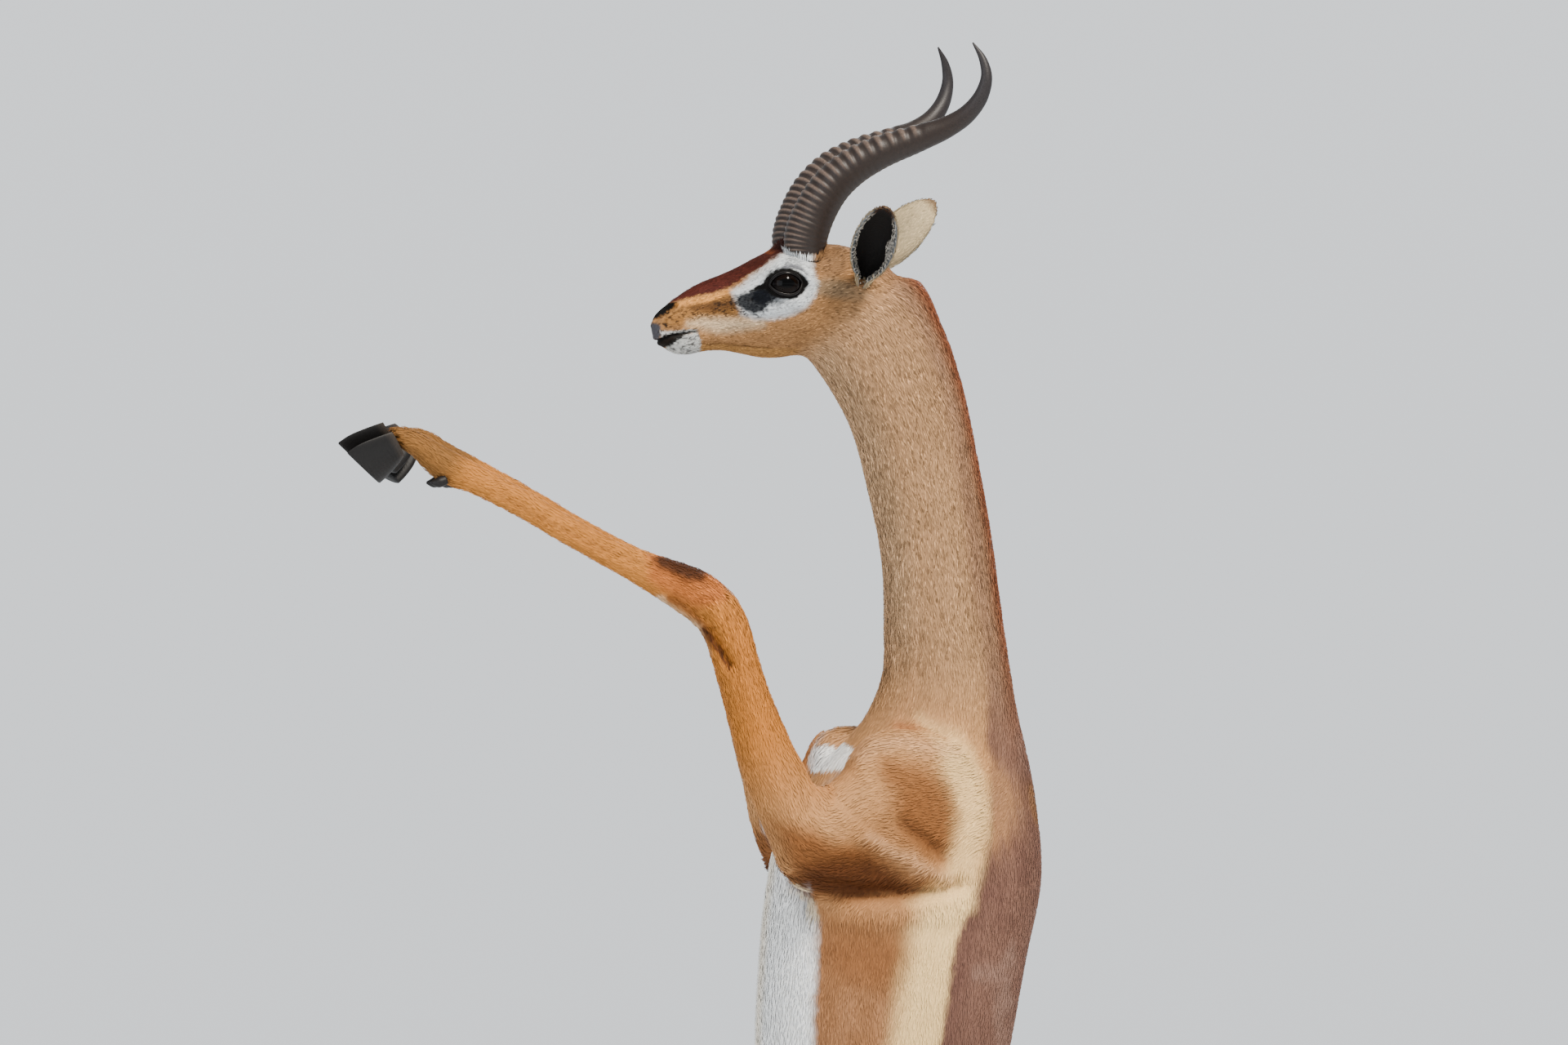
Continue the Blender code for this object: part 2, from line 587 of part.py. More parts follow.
def make_base(made_of):
    """The display stand: a flat plate with rounded upright corners and a softened top edge."""
    bpy.ops.mesh.primitive_cube_add(size=1.0)
    base = bpy.context.object
    base.name = "stand_base"
    size = Matrix.Diagonal((BASE_LENGTH, BASE_WIDTH, BASE_HEIGHT, 1))
    base.data.transform(Matrix.Translation((0, 0, BASE_HEIGHT / 2)) @ size)
    edit = bmesh.new()
    edit.from_mesh(base.data)
    upright = [e for e in edit.edges if abs(e.verts[0].co.z - e.verts[1].co.z) > BASE_HEIGHT / 2]
    bmesh.ops.bevel(edit, geom=upright, offset=BASE_CORNER, segments=6, affect="EDGES", profile=0.5)
    top = [e for e in edit.edges if all(v.co.z > BASE_HEIGHT - WELD for v in e.verts)]
    bmesh.ops.bevel(edit, geom=top, offset=BASE_EDGE, segments=2, affect="EDGES", profile=0.5)
    edit.to_mesh(base.data)
    edit.free()
    return finish(base, made_of)


def make_head():
    """The head's loft, with the brows, orbits, cheekbones and jaw muscles standing out from it."""
    head = loft("head", HEAD, **HEAD_DRAWN)
    for vertex in head.data.vertices:
        x, y, z = vertex.co - Vector((NOSE_X, 0, NOSE_Z))
        u = x * math.cos(HEAD_PITCH) + z * math.sin(HEAD_PITCH)
        v = z * math.cos(HEAD_PITCH) - x * math.sin(HEAD_PITCH)
        out = 0.0
        for centre_u, centre_v, reach_u, reach_v, height in HEAD_RELIEF:
            away = ((u - centre_u) / reach_u) ** 2 + ((v - centre_v) / reach_v) ** 2
            out += height * math.exp(-away)
        vertex.co.y += out * max(-1, min(1, y / HEAD_RELIEF_FADE))
    return head


def head_surface(head, u, v, side):
    """The point of the head's side at u and v."""
    tree = BVHTree.FromPolygons([v.co for v in head.data.vertices], [p.vertices for p in head.data.polygons])
    return tree.ray_cast(head_point(u, v, side * 0.2), Vector((0, -side, 0)))[0]


def lid_line(side):
    """The rim of the lids: an almond round the eyeball, with a corner in front and behind."""
    centre = head_point(EYE_U, EYE_V, side * EYE_Y)
    reach = EYE_RADIUS + LID_STAND_OUT
    points = []
    for angle in np.linspace(0, 2 * math.pi, LID_POINTS, endpoint=False):
        u = -LID_LENGTH / 2 * math.cos(angle)
        v = LID_HEIGHT / 2 * math.sin(angle) * abs(math.sin(angle)) ** LID_FULLNESS + LID_TILT * u
        out = math.sqrt(max(reach**2 - u**2 - v**2, LID_LEAST_OUT**2))
        points.append(centre + head_point(u, v, side * out) - head_point(0, 0, 0))
    return points


def head_cuts(head):
    """Pockets for the eyes, the line of the mouth, the nostrils and the gland slits."""
    pieces = []
    corners = {}
    for side in SIDE_NAMES:
        pieces.append(ball(head_point(EYE_U, EYE_V, side * EYE_Y), EYE_RADIUS + GAP, EYE_SEGMENTS, EYE_RINGS))
        corners[side] = [head_surface(head, u, v, side) for u, v in MOUTH_LINE]
        for u, v, length, height, depth, pitch in HEAD_SLITS:
            place = head_surface(head, u, v, side)
            slit = ball(place, 1.0, 8, 6, (length, depth, height), HEAD_PITCH + math.radians(pitch))
            pieces.append(slit)
    tip = head_point(0, MOUTH_LINE[0][1], 0)
    pieces.append(curve_tube([*reversed(corners[LEFT]), tip, *corners[RIGHT]], MOUTH_GROOVE))
    return pieces


def limb_cut(low, high, share, side, half_length, half_width):
    """A thin plate across a limb, share of the way from its section low to high."""
    (x0, z0), (x1, z1) = midpoint(low), midpoint(high)
    y = (low.y + (high.y - low.y) * share) * side
    centre = Vector((x0 + (x1 - x0) * share, y, z0 + (z1 - z0) * share))
    front = Vector(low.front).lerp(Vector(high.front), share)
    back = Vector(low.back).lerp(Vector(high.back), share)
    across = back - front
    return plate(centre, (-across.y, 0, across.x), half_length, half_width)


def body_cuts(forelegs, hindlegs):
    """The thin plates that part the body into head, neck, torso and the lengths of each leg."""
    cuts = []
    for front, back, half_length, half_width in (HEAD_CUT, NECK_CUT):
        run = Vector((back[0] - front[0], 0, back[1] - front[1]))
        centre = Vector(((front[0] + back[0]) / 2, 0, (front[1] + back[1]) / 2))
        cuts.append(plate(centre, (-run.z, 0, run.x), half_length, half_width))
    for side in SIDE_NAMES:
        for low, share, reach in FORELEG_CUTS:
            sections = forelegs[side][len(SHOULDER):]
            cuts.append(limb_cut(sections[low], sections[low + 1], share, side, reach, reach))
        for low, share, reach in HINDLEG_CUTS:
            sections = hindlegs[side]
            cuts.append(limb_cut(sections[low], sections[low + 1], share, side, reach, reach))
        (x, y, z), rise = HIP_CUT_CENTRE, HIP_CUT_RISE
        facing = (0, -side * math.sin(rise), math.cos(rise))
        cuts.append(plate(Vector((x, side * y, z)), facing, *HIP_CUT_REACH))
    return cuts


def name_parts(parts, forelegs, hindlegs):
    """Names the parts of the cut body by a point inside each, and drops any scrap."""
    inside = {name: Vector(point) for name, point in INSIDE.items()}
    for side, word in SIDE_NAMES.items():
        for names, sections, cuts in (
            (FORELEG_NAMES, forelegs[side][len(SHOULDER):], FORELEG_CUTS),
            (HINDLEG_NAMES, hindlegs[side], HINDLEG_CUTS),
        ):
            starts = [cut[0] + 1 for cut in cuts]
            ends = [*[cut[0] for cut in cuts[1:]], len(sections) - 1]
            if names is HINDLEG_NAMES:
                starts, ends = [THIGH_FIRST, *starts], [cuts[0][0], *ends]
            for name, start, end in zip(names, starts, ends):
                x0, z0 = midpoint(sections[start])
                x1, z1 = midpoint(sections[end])
                inside[f"{name}_{word}"] = Vector(((x0 + x1) / 2, sections[start].y * side, (z0 + z1) / 2))
    centres = {}
    for part in parts:
        corners = [Vector(c) for c in part.bound_box]
        centres[part] = sum(corners, Vector()) / 8
    named = {}
    for name, point in inside.items():
        nearest = min(centres, key=lambda part: (centres[part] - point).length)
        named[name] = nearest
        del centres[nearest]
    for part in centres:
        bpy.data.objects.remove(part)
    for name, part in named.items():
        part.name = name
    return named


def claw(frame, inner):
    """One claw of a hoof: rings round a flat sole, pointed at the toe and flatter on its inner side."""
    angle = np.linspace(0, 2 * math.pi, CLAW_SIDES, endpoint=False)
    rings, tips = [], []
    for toe_z, heel_z, toe_x, heel_x, half in CLAW_LAYERS:
        x = (heel_x + toe_x) / 2 + (heel_x - toe_x) / 2 * np.cos(angle)
        pointed = np.clip((x - toe_x) / (heel_x - toe_x), 0, 1) ** CLAW_POINT
        y = half * np.sin(angle) * np.where(np.sin(angle) * inner > 0, CLAW_INNER_SHARE, 1) * pointed
        z = toe_z + (heel_z - toe_z) * (x - toe_x) / (heel_x - toe_x)
        rings.append(np.stack([x, y - inner * CLAW_OFFSET, z], axis=1))
        tips.append(rings[-1].mean(axis=0))
    points = [*np.concatenate(rings), tips[0], tips[-1]]
    made = mesh_object("claw", points, tube_faces(len(rings), CLAW_SIDES))
    made.data.transform(frame)
    return outward(made)


def foot_frame(section, y, pitch, roll):
    """Carries a hoof's own frame, whose sole is at z = 0, to the end of a leg."""
    x, z = midpoint(section)
    toe_z, heel_z, toe_x, heel_x, _half = CLAW_LAYERS[-1]
    top = Vector(((toe_x + heel_x) / 2, 0, (toe_z + heel_z) / 2))
    spin = Matrix.Rotation(roll, 4, Vector((toe_z - heel_z, 0, heel_x - toe_x)).normalized())
    return Matrix.Translation((x, y, z)) @ Matrix.Rotation(pitch, 4, "Y") @ spin @ Matrix.Translation(-top)


def make_hooves(forelegs, hindlegs, made_of):
    """Two claws to each foot. The hind soles lie flat on the stand."""
    for side, word in SIDE_NAMES.items():
        fore, hind = forelegs[side][-1], hindlegs[side][-1]
        out = Vector(fore.back) - Vector(fore.front)
        normal = Vector((out.y, 0, -out.x)).normalized()
        frame = foot_frame(fore, fore.y * side, FORE_HOOF_PITCH, -side * FORE_HOOF_ROLL)
        held = Matrix.Translation(normal * FORE_HOOF_GAP) @ frame
        stood = foot_frame(hind, hind.y * side, 0, 0)
        stood.translation.z = BASE_HEIGHT + GAP
        for name, frame in (("fore", held), ("hind", stood)):
            for place, inner in (("inner", side), ("outer", -side)):
                finish(claw(frame, inner), made_of, SHARP_HOOF).name = f"{name}_hoof_{place}_{word}"


def dewclaw_pieces(sections, fetlock, side):
    """Two small false hooves behind a fetlock."""
    (front_x, front_z), (back_x, back_z) = sections[fetlock].front, sections[fetlock].back
    run = Vector((back_x - front_x, 0, back_z - front_z)).normalized()
    y = sections[fetlock].y * side
    root = Vector((back_x, y, back_z)) - run * DEWCLAW_DEPTH
    nx, nz = midpoint(sections[fetlock + 1])
    px, pz = midpoint(sections[fetlock])
    down = Vector((nx - px, 0, nz - pz)).normalized()
    pieces = []
    for away in (-1, 1):
        start = root + Vector((0, away * DEWCLAW_SPREAD, 0)) + down * DEWCLAW_START_DOWN
        end = start + run * DEWCLAW_LENGTH + down * DEWCLAW_DROP + Vector((0, away * DEWCLAW_SPLAY, 0))
        middle = start.lerp(end, 0.5) + run * DEWCLAW_BULGE
        pieces.append(path_tube("dewclaw", [start, middle, end], DEWCLAW_RADII, 4, 6))
    return pieces


def horn_ridge(crests):
    """How far the horn's rings stand out: most on its front, and not at all past the last one."""

    def rise(s, angle):
        on_crest = np.abs(s - crests).min(axis=1, keepdims=True) < WELD
        strength = HORN_FRONT_SHARE + (1 - HORN_FRONT_SHARE) * np.cos(angle)
        fade = np.sqrt(np.clip((crests[-1] + HORN_FADE_PAST - s) / HORN_FADE_LENGTH, 0, 1))
        return np.where(on_crest, HORN_RING_RISE, -HORN_RING_DIP) * strength * fade

    return rise


def make_horn(side, body, made_of):
    """A horn ringed along its first two thirds, then smooth to its tip."""
    gaps = np.linspace(HORN_RING_FIRST, HORN_RING_LAST, HORN_RINGS)
    crests = HORN_PLAIN_BASE + np.cumsum(gaps)
    path = np.array(HORN_PATH) * [1, side, 1]
    length = np.linalg.norm(np.diff(path, axis=0), axis=1).sum()
    tip = np.linspace(crests[-1] + HORN_RING_LAST, length, HORN_TIP_RINGS)
    ringed = np.sort([*crests, *(crests + gaps * HORN_HOLLOW_SHARE)])
    places = np.concatenate([[0.0, HORN_PLAIN_BASE * HORN_BASE_SHARE], ringed, tip])
    horn = path_tube("horn", path, HORN_RADII, places, HORN_SIDES, HORN_FLATNESS, horn_ridge(crests))
    boolean(horn, [grown(body, GAP)], "DIFFERENCE")
    horn = keep_largest(horn, f"horn_{SIDE_NAMES[side]}")
    return finish(horn, made_of, SHARP_HORN)


def ear_frame(side):
    """The root, lengthwise axis and opening direction of an ear. The right ear is laid back."""
    root, axis, opening = EAR_PLACES[side]
    axis = Vector(axis).normalized()
    opening = Vector(opening)
    opening = (opening - axis * opening.dot(axis)).normalized()
    return head_point(*root), axis, opening


def ear_surface(side, inset=0.0):
    """Points of one face of an ear: an open tube at its root that unrolls towards its tip.

    Row i lies along of the way to the tip. Its points lie on an arc whose half angle is the
    ear's wrap there, and whose radius gives the ear its half width.
    """
    root, axis, opening = ear_frame(side)
    across = axis.cross(opening)
    along = np.linspace(0, 1, EAR_STATIONS)[:, None]
    shape = smooth_curve(EAR_ALONG, np.array([EAR_HALF, EAR_WRAP]).T, along[:, 0])
    wrap = np.radians(shape[:, 1:2])
    radius = EAR_WIDTH / 2 * shape[:, :1] / np.sin(np.minimum(wrap, math.pi / 2))
    turn = np.linspace(-1, 1, EAR_ACROSS)[None, :] * wrap
    sideways = (radius - inset) * np.sin(turn)
    depth = EAR_SEAT * radius - (radius - inset) * np.cos(turn) + EAR_TIP_BEND * along**2
    return (
        np.array(root)
        + (EAR_LENGTH * along)[..., None] * np.array(axis)
        + sideways[..., None] * np.array(across)
        + depth[..., None] * np.array(opening)
    )


def make_ear(side, body, made_of):
    """A cupped ear: an outer and an inner face joined round the rim and across the root."""
    outer, inner = ear_surface(side), ear_surface(side, EAR_WALL)
    rows, columns = outer.shape[:2]
    index = np.arange(rows * columns).reshape(rows, columns)
    a, b, c, d = index[:-1, :-1], index[:-1, 1:], index[1:, 1:], index[1:, :-1]
    wall = np.concatenate([np.stack([a, b, c], -1).reshape(-1, 3), np.stack([a, c, d], -1).reshape(-1, 3)])
    far = rows * columns
    rim = np.concatenate([index[:, 0], index[-1, 1:], index[-2::-1, -1], index[0, -2:0:-1]])
    after = np.roll(rim, -1)
    edge = np.stack([rim, after, after + far, rim + far], -1)
    faces = [*wall.tolist(), *(wall[:, ::-1] + far).tolist(), *edge.tolist()]
    ear = outward(mesh_object("ear", [*outer.reshape(-1, 3), *inner.reshape(-1, 3)], faces))
    boolean(ear, [grown(body, GAP)], "DIFFERENCE")
    ear = keep_largest(ear, f"ear_{SIDE_NAMES[side]}")
    return finish(ear, made_of)


def make_tail(body, made_of):
    """The tail: a tapered dock, with flat tapered locks that hang over one another from its end."""
    tail = path_tube("tail", TAIL_PATH, TAIL_RADII, 10, 8)
    path = np.array(TAIL_PATH)
    knots = np.linspace(0, 1, len(path))
    locks = []
    for i in range(TAIL_LOCKS):
        share = i / (TAIL_LOCKS - 1)
        start = smooth_curve(knots, path, [TAIL_BARE + (TAIL_LAST_LOCK - TAIL_BARE) * share])[0]
        turn = i * TAIL_LOCK_TURN
        out = np.array([math.cos(turn), math.sin(turn), 0.0])
        hang = np.array([0.0, 0.0, -TAIL_LOCK_LENGTH * (1 - TAIL_LOCK_SHORTER * share)])
        spread = TAIL_LOCK_SPREAD * (1 - TAIL_LOCK_NARROWER * share)
        line = [start - out * TAIL_LOCK_ROOT]
        line += [start + out * spread * a + hang * b for a, b in TAIL_LOCK_RUN]
        locks.append(path_tube("lock", line, TAIL_LOCK_RADII, 4, 5))
    boolean(tail, locks, "UNION")
    boolean(tail, [grown(body, GAP)], "DIFFERENCE")
    tail = keep_largest(tail, "tail")
    return finish(tail, made_of)


def make_eyes(made_of):
    for side, word in SIDE_NAMES.items():
        eye = ball(head_point(EYE_U, EYE_V, side * EYE_Y), EYE_RADIUS, EYE_SEGMENTS, EYE_RINGS)
        finish(eye, made_of, math.pi).name = f"eye_{word}"


def main():
    for obj in list(bpy.data.objects):
        bpy.data.objects.remove(obj)
    parts = bpy.data.collections.new(COLLECTION)
    bpy.context.scene.collection.children.link(parts)
    parts.objects.link(bpy.data.objects.new(COLLECTION, None))
    paint = {name: material(name, colour, SHINE.get(name, MATT)) for name, colour in COAT.items()}
    make_base(paint["base"])

    forelegs = {side: foreleg_sections(side) for side in SIDE_NAMES}
    hindlegs = {side: hindleg_sections(side) for side in SIDE_NAMES}
    head = make_head()
    cuts = head_cuts(head)
    forms = [head]
    for side in SIDE_NAMES:
        forms.append(curve_tube(lid_line(side), LID_RADIUS, cyclic=True))
        forms.append(loft("foreleg", forelegs[side], side=side, **FORELEG_DRAWN))
        forms.append(loft("hindleg", hindlegs[side], side=side, **HINDLEG_DRAWN))
        forms += dewclaw_pieces(forelegs[side][len(SHOULDER):], FORE_FETLOCK, side)
        forms += dewclaw_pieces(hindlegs[side], HIND_FETLOCK, side)
    body = boolean(loft("body", TRUNK, **TRUNK_DRAWN), forms, "UNION")
    body = keep_largest(body, "body")

    for side in SIDE_NAMES:
        make_horn(side, body, paint["horn"])
        make_ear(side, body, paint["ear"])
    make_tail(body, paint["saddle"])
    make_eyes(paint["eye"])
    make_hooves(forelegs, hindlegs, paint["hoof"])

    boolean(body, cuts, "DIFFERENCE")
    boolean(body, body_cuts(forelegs, hindlegs), "DIFFERENCE")
    for name, part in name_parts(loose_parts(body), forelegs, hindlegs).items():
        finish(part, paint["leg_tan"] if name.endswith(("left", "right")) else paint["tan"])


if __name__ == "__main__":
    main()
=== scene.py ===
"""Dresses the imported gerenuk: hide, coat, eyes, horns, ears, hooves and tail, in a plain studio.

The animal faces -X, its left side is at -Y and Z is up, in metres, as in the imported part. Its
body forms repeat the part's own stations, so that the hide lies just inside the solids. The
tables of places and sizes are in millimetres, but for those whose comment says metres.
"""
from __future__ import annotations

import json
import logging
import math
from collections.abc import Iterator
from contextlib import contextmanager
from dataclasses import dataclass
from enum import Enum
from functools import cache
from typing import NamedTuple

import bmesh
import bpy
import numpy as np
from mathutils import Matrix, Vector

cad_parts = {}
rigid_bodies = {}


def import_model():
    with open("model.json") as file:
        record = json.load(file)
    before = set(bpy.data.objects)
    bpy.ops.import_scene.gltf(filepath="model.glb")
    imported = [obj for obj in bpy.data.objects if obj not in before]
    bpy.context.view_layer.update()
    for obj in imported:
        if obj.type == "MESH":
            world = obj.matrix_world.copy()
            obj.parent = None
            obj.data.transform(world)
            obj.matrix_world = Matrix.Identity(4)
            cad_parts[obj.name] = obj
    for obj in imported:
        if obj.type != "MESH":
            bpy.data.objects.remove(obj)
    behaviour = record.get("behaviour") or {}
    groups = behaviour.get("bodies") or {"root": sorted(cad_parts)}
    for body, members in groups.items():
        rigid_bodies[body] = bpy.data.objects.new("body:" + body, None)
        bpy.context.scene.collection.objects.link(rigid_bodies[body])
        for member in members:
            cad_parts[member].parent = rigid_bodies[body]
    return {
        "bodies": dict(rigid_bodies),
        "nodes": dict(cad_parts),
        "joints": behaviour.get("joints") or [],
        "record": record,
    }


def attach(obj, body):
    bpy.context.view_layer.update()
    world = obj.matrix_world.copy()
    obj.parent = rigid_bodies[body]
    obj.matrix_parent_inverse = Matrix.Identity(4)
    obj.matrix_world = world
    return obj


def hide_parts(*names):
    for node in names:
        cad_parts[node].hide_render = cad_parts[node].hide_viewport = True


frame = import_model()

LOG = logging.getLogger("gerenuk")
Array = np.ndarray
Object = bpy.types.Object
Tree = bpy.types.NodeTree
Node = bpy.types.Node
BODY = "root"

# The head has a frame of its own: u runs back from the nose tip, v up from the same point.
NOSE_X, NOSE_Z = -0.2342, 1.8561
HEAD_PITCH = math.radians(15)
EYE_U, EYE_V, EYE_Y, EYE_RADIUS = 0.131, 0.010, 0.0345, 0.0165
LID_LENGTH, LID_HEIGHT, LID_TILT, LID_PINCH = 0.0312, 0.0216, -0.16, 0.20
GAP = 0.0003


class Side(Enum):
    """A side of the animal, as the sign of Y there."""

    LEFT = -1
    RIGHT = 1

    @property
    def word(self) -> str:
        """The side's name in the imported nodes' names."""
        return self.name.lower()


def mm(value: float | tuple | list | Array) -> Array:
    """Millimetres as metres, rounded to a tenth of a micrometre."""
    return np.round(np.divide(value, 1000), 7)


def line(*values: float) -> Array:
    """A line's corners in metres, from two coordinates a corner in millimetres."""
    return mm(values).reshape(-1, 2)


def columns(*values: float | Array) -> Array:
    """Numbers or whole arrays side by side along a new last axis."""
    return np.stack(np.broadcast_arrays(*values), -1)


def head_xz(u: float | Array, v: float | Array) -> tuple[float | Array, float | Array]:
    """The x and z of the head frame's u and v."""
    cos, sin = math.cos(HEAD_PITCH), math.sin(HEAD_PITCH)
    return NOSE_X + cos * u - sin * v, NOSE_Z + sin * u + cos * v


def head_point(u: float, v: float, y: float = 0.0) -> Array:
    """The point of the head frame's u and v, at that y."""
    x, z = head_xz(u, v)
    return np.array([x, y, z])


def head_uv(points: Array) -> Array:
    """The head frame's u and v of each point.

    Args:
        points: rows of coordinates.

    Returns:
        Rows of u and v.
    """
    cos, sin = math.cos(HEAD_PITCH), math.sin(HEAD_PITCH)
    dx, dz = points[:, 0] - NOSE_X, points[:, 2] - NOSE_Z
    return columns(cos * dx + sin * dz, cos * dz - sin * dx)


def stations(*rows: tuple[float, ...]) -> Array:
    """A body form's cross-sections, one a row, with all but the last two columns in metres.

    Args:
        rows: x and z of the belly or shin side, x and z of the back side, and half width, then
            where they aren't 0, 0.5 and 2: y, the widest line's share of the depth, and power.

    Returns:
        Rows of those eight numbers.
    """
    full = np.array([(*row, *(0, 0.5, 2)[len(row) - 5:]) for row in rows])
    full[:, :6] = mm(full[:, :6])
    return full


def head_stations(*rows: tuple[float, ...]) -> Array:
    """The head's cross-sections, as stations() gives a form's.

    Args:
        rows: u, v of the underside, v of the top, and half width, then the widest line's share
            and power where they aren't 0.55 and 2.

    Returns:
        Rows of eight numbers.
    """
    full = np.array([(*row, *(0.55, 2)[len(row) - 4:]) for row in rows])
    u, low, high, half = mm(full[:, :4]).T
    return columns(*head_xz(u, low), *head_xz(u, high), half, 0, full[:, 4], full[:, 5])


TRUNK = stations(
    (10, 790, 85, 785, 40), (-45, 840, 118, 822, 78), (-78, 900, 131, 885, 96),
    (-100, 965, 131, 955, 96), (-116, 1030, 117, 1030, 90), (-125, 1100, 110, 1110, 94, 0, 0.52),
    (-129, 1174, 123, 1180, 103, 0, 0.54), (-126, 1245, 138, 1260, 106, 0, 0.56),
    (-120, 1314, 153, 1330, 100, 0, 0.55, 1.95), (-104, 1385, 150, 1400, 85, 0, 0.52, 1.9),
    (-66, 1440, 140, 1455, 71, 0, 0.48, 1.9), (-26, 1482, 131, 1492, 60, 0, 0.46, 1.9),
    (-6, 1522, 123.5, 1534, 52, 0, 0.46, 1.95), (-3, 1575, 115, 1588, 47.5, 0, 0.47),
    (-6, 1640, 105, 1660, 45), (-20, 1706, 92, 1732, 44.5), (-39, 1770, 74, 1812, 46),
    (-64, 1812, 56, 1862, 47), (-86, 1838, 33, 1904, 42), (-100, 1860, 4, 1918, 30),
)
HEAD = head_stations(
    (1, -15, 6, 8.5), (8, -20.5, 12.5, 13.5, 0.55, 2.2), (18, -29, 18, 16.5, 0.55, 2.2),
    (30, -33.5, 22.5, 17.2, 0.55, 2.2), (45, -34.5, 28, 17.5, 0.55, 2.2),
    (62, -37.5, 31.8, 19.5, 0.55, 2.15), (80, -45.5, 33.6, 24.5, 0.58), (100, -55, 36.6, 32, 0.62, 1.9),
    (120, -60, 41, 41, 0.66, 1.85), (138, -62.5, 43.5, 45.5, 0.67, 1.85), (158, -62, 43, 43, 0.64, 1.9),
    (182, -56, 38.5, 40, 0.58), (208, -44, 30, 37, 0.55), (232, -30, 15, 30), (250, -18, -2, 13),
)
# How the skull and its muscles shape the head's sides: u, v, reach along u and v, and how far out.
HEAD_RELIEF = (
    (131, 10, 24, 20, 4.5), (136, 32, 22, 10, 5), (98, 10, 16, 12, -1.8), (116, -12, 30, 9, 3),
    (155, -30, 26, 20, 3), (172, 18, 15, 16, -3), (85, -22, 20, 12, -1.2), (16, 9, 10, 7, 2),
    (24, -25, 14, 7, 1),
)
SHOULDER = stations(
    (100, 1436, 106, 1362, 22, 20), (62, 1464, 68, 1330, 36, 45), (34, 1476, 38, 1318, 41, 57),
    (4, 1480, 6, 1314, 43, 64),
)
UPPER_ARM = {
    Side.LEFT: stations((-38, 1472, -42, 1313, 42, 69), (-66, 1436, -83, 1314, 40, 75)),
    Side.RIGHT: stations((-27, 1480, -34, 1313, 42, 69), (-56, 1460, -71, 1320, 40, 75)),
}
FORELEG = stations(
    (-88, 1424, -117.5, 1328, 36, 82), (-103.7, 1446.6, -140.1, 1372, 33, 84),
    (-122.1, 1481.7, -164.1, 1430, 28, 85), (-139.6, 1524.6, -181.6, 1497, 23.5, 84),
    (-149.6, 1559.7, -197.2, 1548, 20.5, 82), (-158.8, 1588.6, -203.2, 1563.6, 20.5, 80, 0.5, 2.2),
    (-171.5, 1607.3, -212.7, 1576.1, 20.5, 77, 0.5, 2.2),
    (-195.2, 1626, -224.3, 1584.7, 19, 74, 0.5, 2.2), (-221.4, 1636.9, -241.6, 1596.4, 16, 72, 0.5, 2.2),
    (-257.2, 1647.8, -275, 1616.6, 13.5, 70, 0.5, 2.2), (-321.1, 1679, -337.3, 1651, 12, 67, 0.5, 2.2),
    (-368.8, 1706.3, -383.3, 1677.5, 12, 65, 0.5, 2.2), (-408.6, 1727.4, -424.8, 1697.8, 13.5, 63),
    (-431.1, 1739.1, -450.4, 1707.1, 16.5, 62), (-452.5, 1750, -471.1, 1721.9, 14, 61),
    (-480, 1764.5, -480, 1734.5, 15.5, 60.5), (-507.5, 1766, -489, 1737, 19, 60),
)
# How much further back the right foreleg is held than the left one, and less at its elbow.
RIGHT_ELBOW_BACK, RIGHT_FORELEG_BACK = (0.028, 0.031, 0.0410), 0.0415
HINDLEG = stations(
    (-20, 1050, 75, 1030, 26, 40), (-56, 970, 108, 950, 44, 50), (-78, 895, 127, 872, 55, 60),
    (-92, 830, 124, 805, 56, 70), (-104, 765, 88, 738, 50, 80), (-111, 710, 46, 690, 42, 88),
    (-110, 662, 16, 648, 35, 93), (-86, 608, 16, 594, 30, 96), (-49, 545, 34, 526, 25, 99),
    (-8, 482, 62, 462, 19.5, 102), (22, 438, 90, 424, 17.5, 104), (37, 405, 103, 402, 19, 105, 0.5, 2.2),
    (43, 370, 96, 366, 18.5, 106, 0.5, 2.2), (46, 325, 83, 322, 14.5, 107, 0.5, 2.2),
    (41, 240, 73, 240, 12.5, 110, 0.5, 2.2), (34, 170, 66, 170, 13, 113), (24, 133, 66, 126, 16.8, 115),
    (6, 102, 43, 90, 14.5, 117), (-11.5, 76, 31.5, 62.3, 19.5, 118),
)
HIND_STEP = {Side.LEFT: -0.012, Side.RIGHT: 0.012}
HIP_Z = 0.945
DOCK = stations(
    (92, 990, 108, 960, 17), (121, 969, 142, 944, 14, 3), (139, 925, 163, 915, 11, 6),
    (148, 880, 169, 880, 9, 8), (151, 810, 166, 810, 7, 10), (147, 745, 155, 745, 4, 10),
)


def unit(rows: Array) -> Array:
    """Each row scaled to length one."""
    return rows / np.maximum(np.linalg.norm(rows, axis=-1, keepdims=True), 1e-12)


def dots(a: Array, b: Array) -> Array:
    """The dot product of each row of a with that of b."""
    return np.einsum("ij,ij->i", a, b)


def circle(count: int) -> Array:
    """Angles evenly round a circle."""
    return np.linspace(0, 2 * math.pi, count, endpoint=False)


def ease(value: Array, low: float | Array, high: float | Array) -> Array:
    """0 up to low, 1 from high on, and between them 3 t squared less 2 t cubed."""
    t = np.clip((value - low) / (high - low), 0, 1)
    return t * t * (3 - 2 * t)


def gaussian(value: Array, middle: float, spread: float) -> Array:
    """e to the minus of the distance from the middle over the spread, squared."""
    return np.exp(-(((value - middle) / spread) ** 2))


def table(at: Array, rows: tuple[float, ...]) -> Array:
    """A value read off straight lines through place, value, place, value and so on."""
    return np.interp(at, rows[::2], rows[1::2])


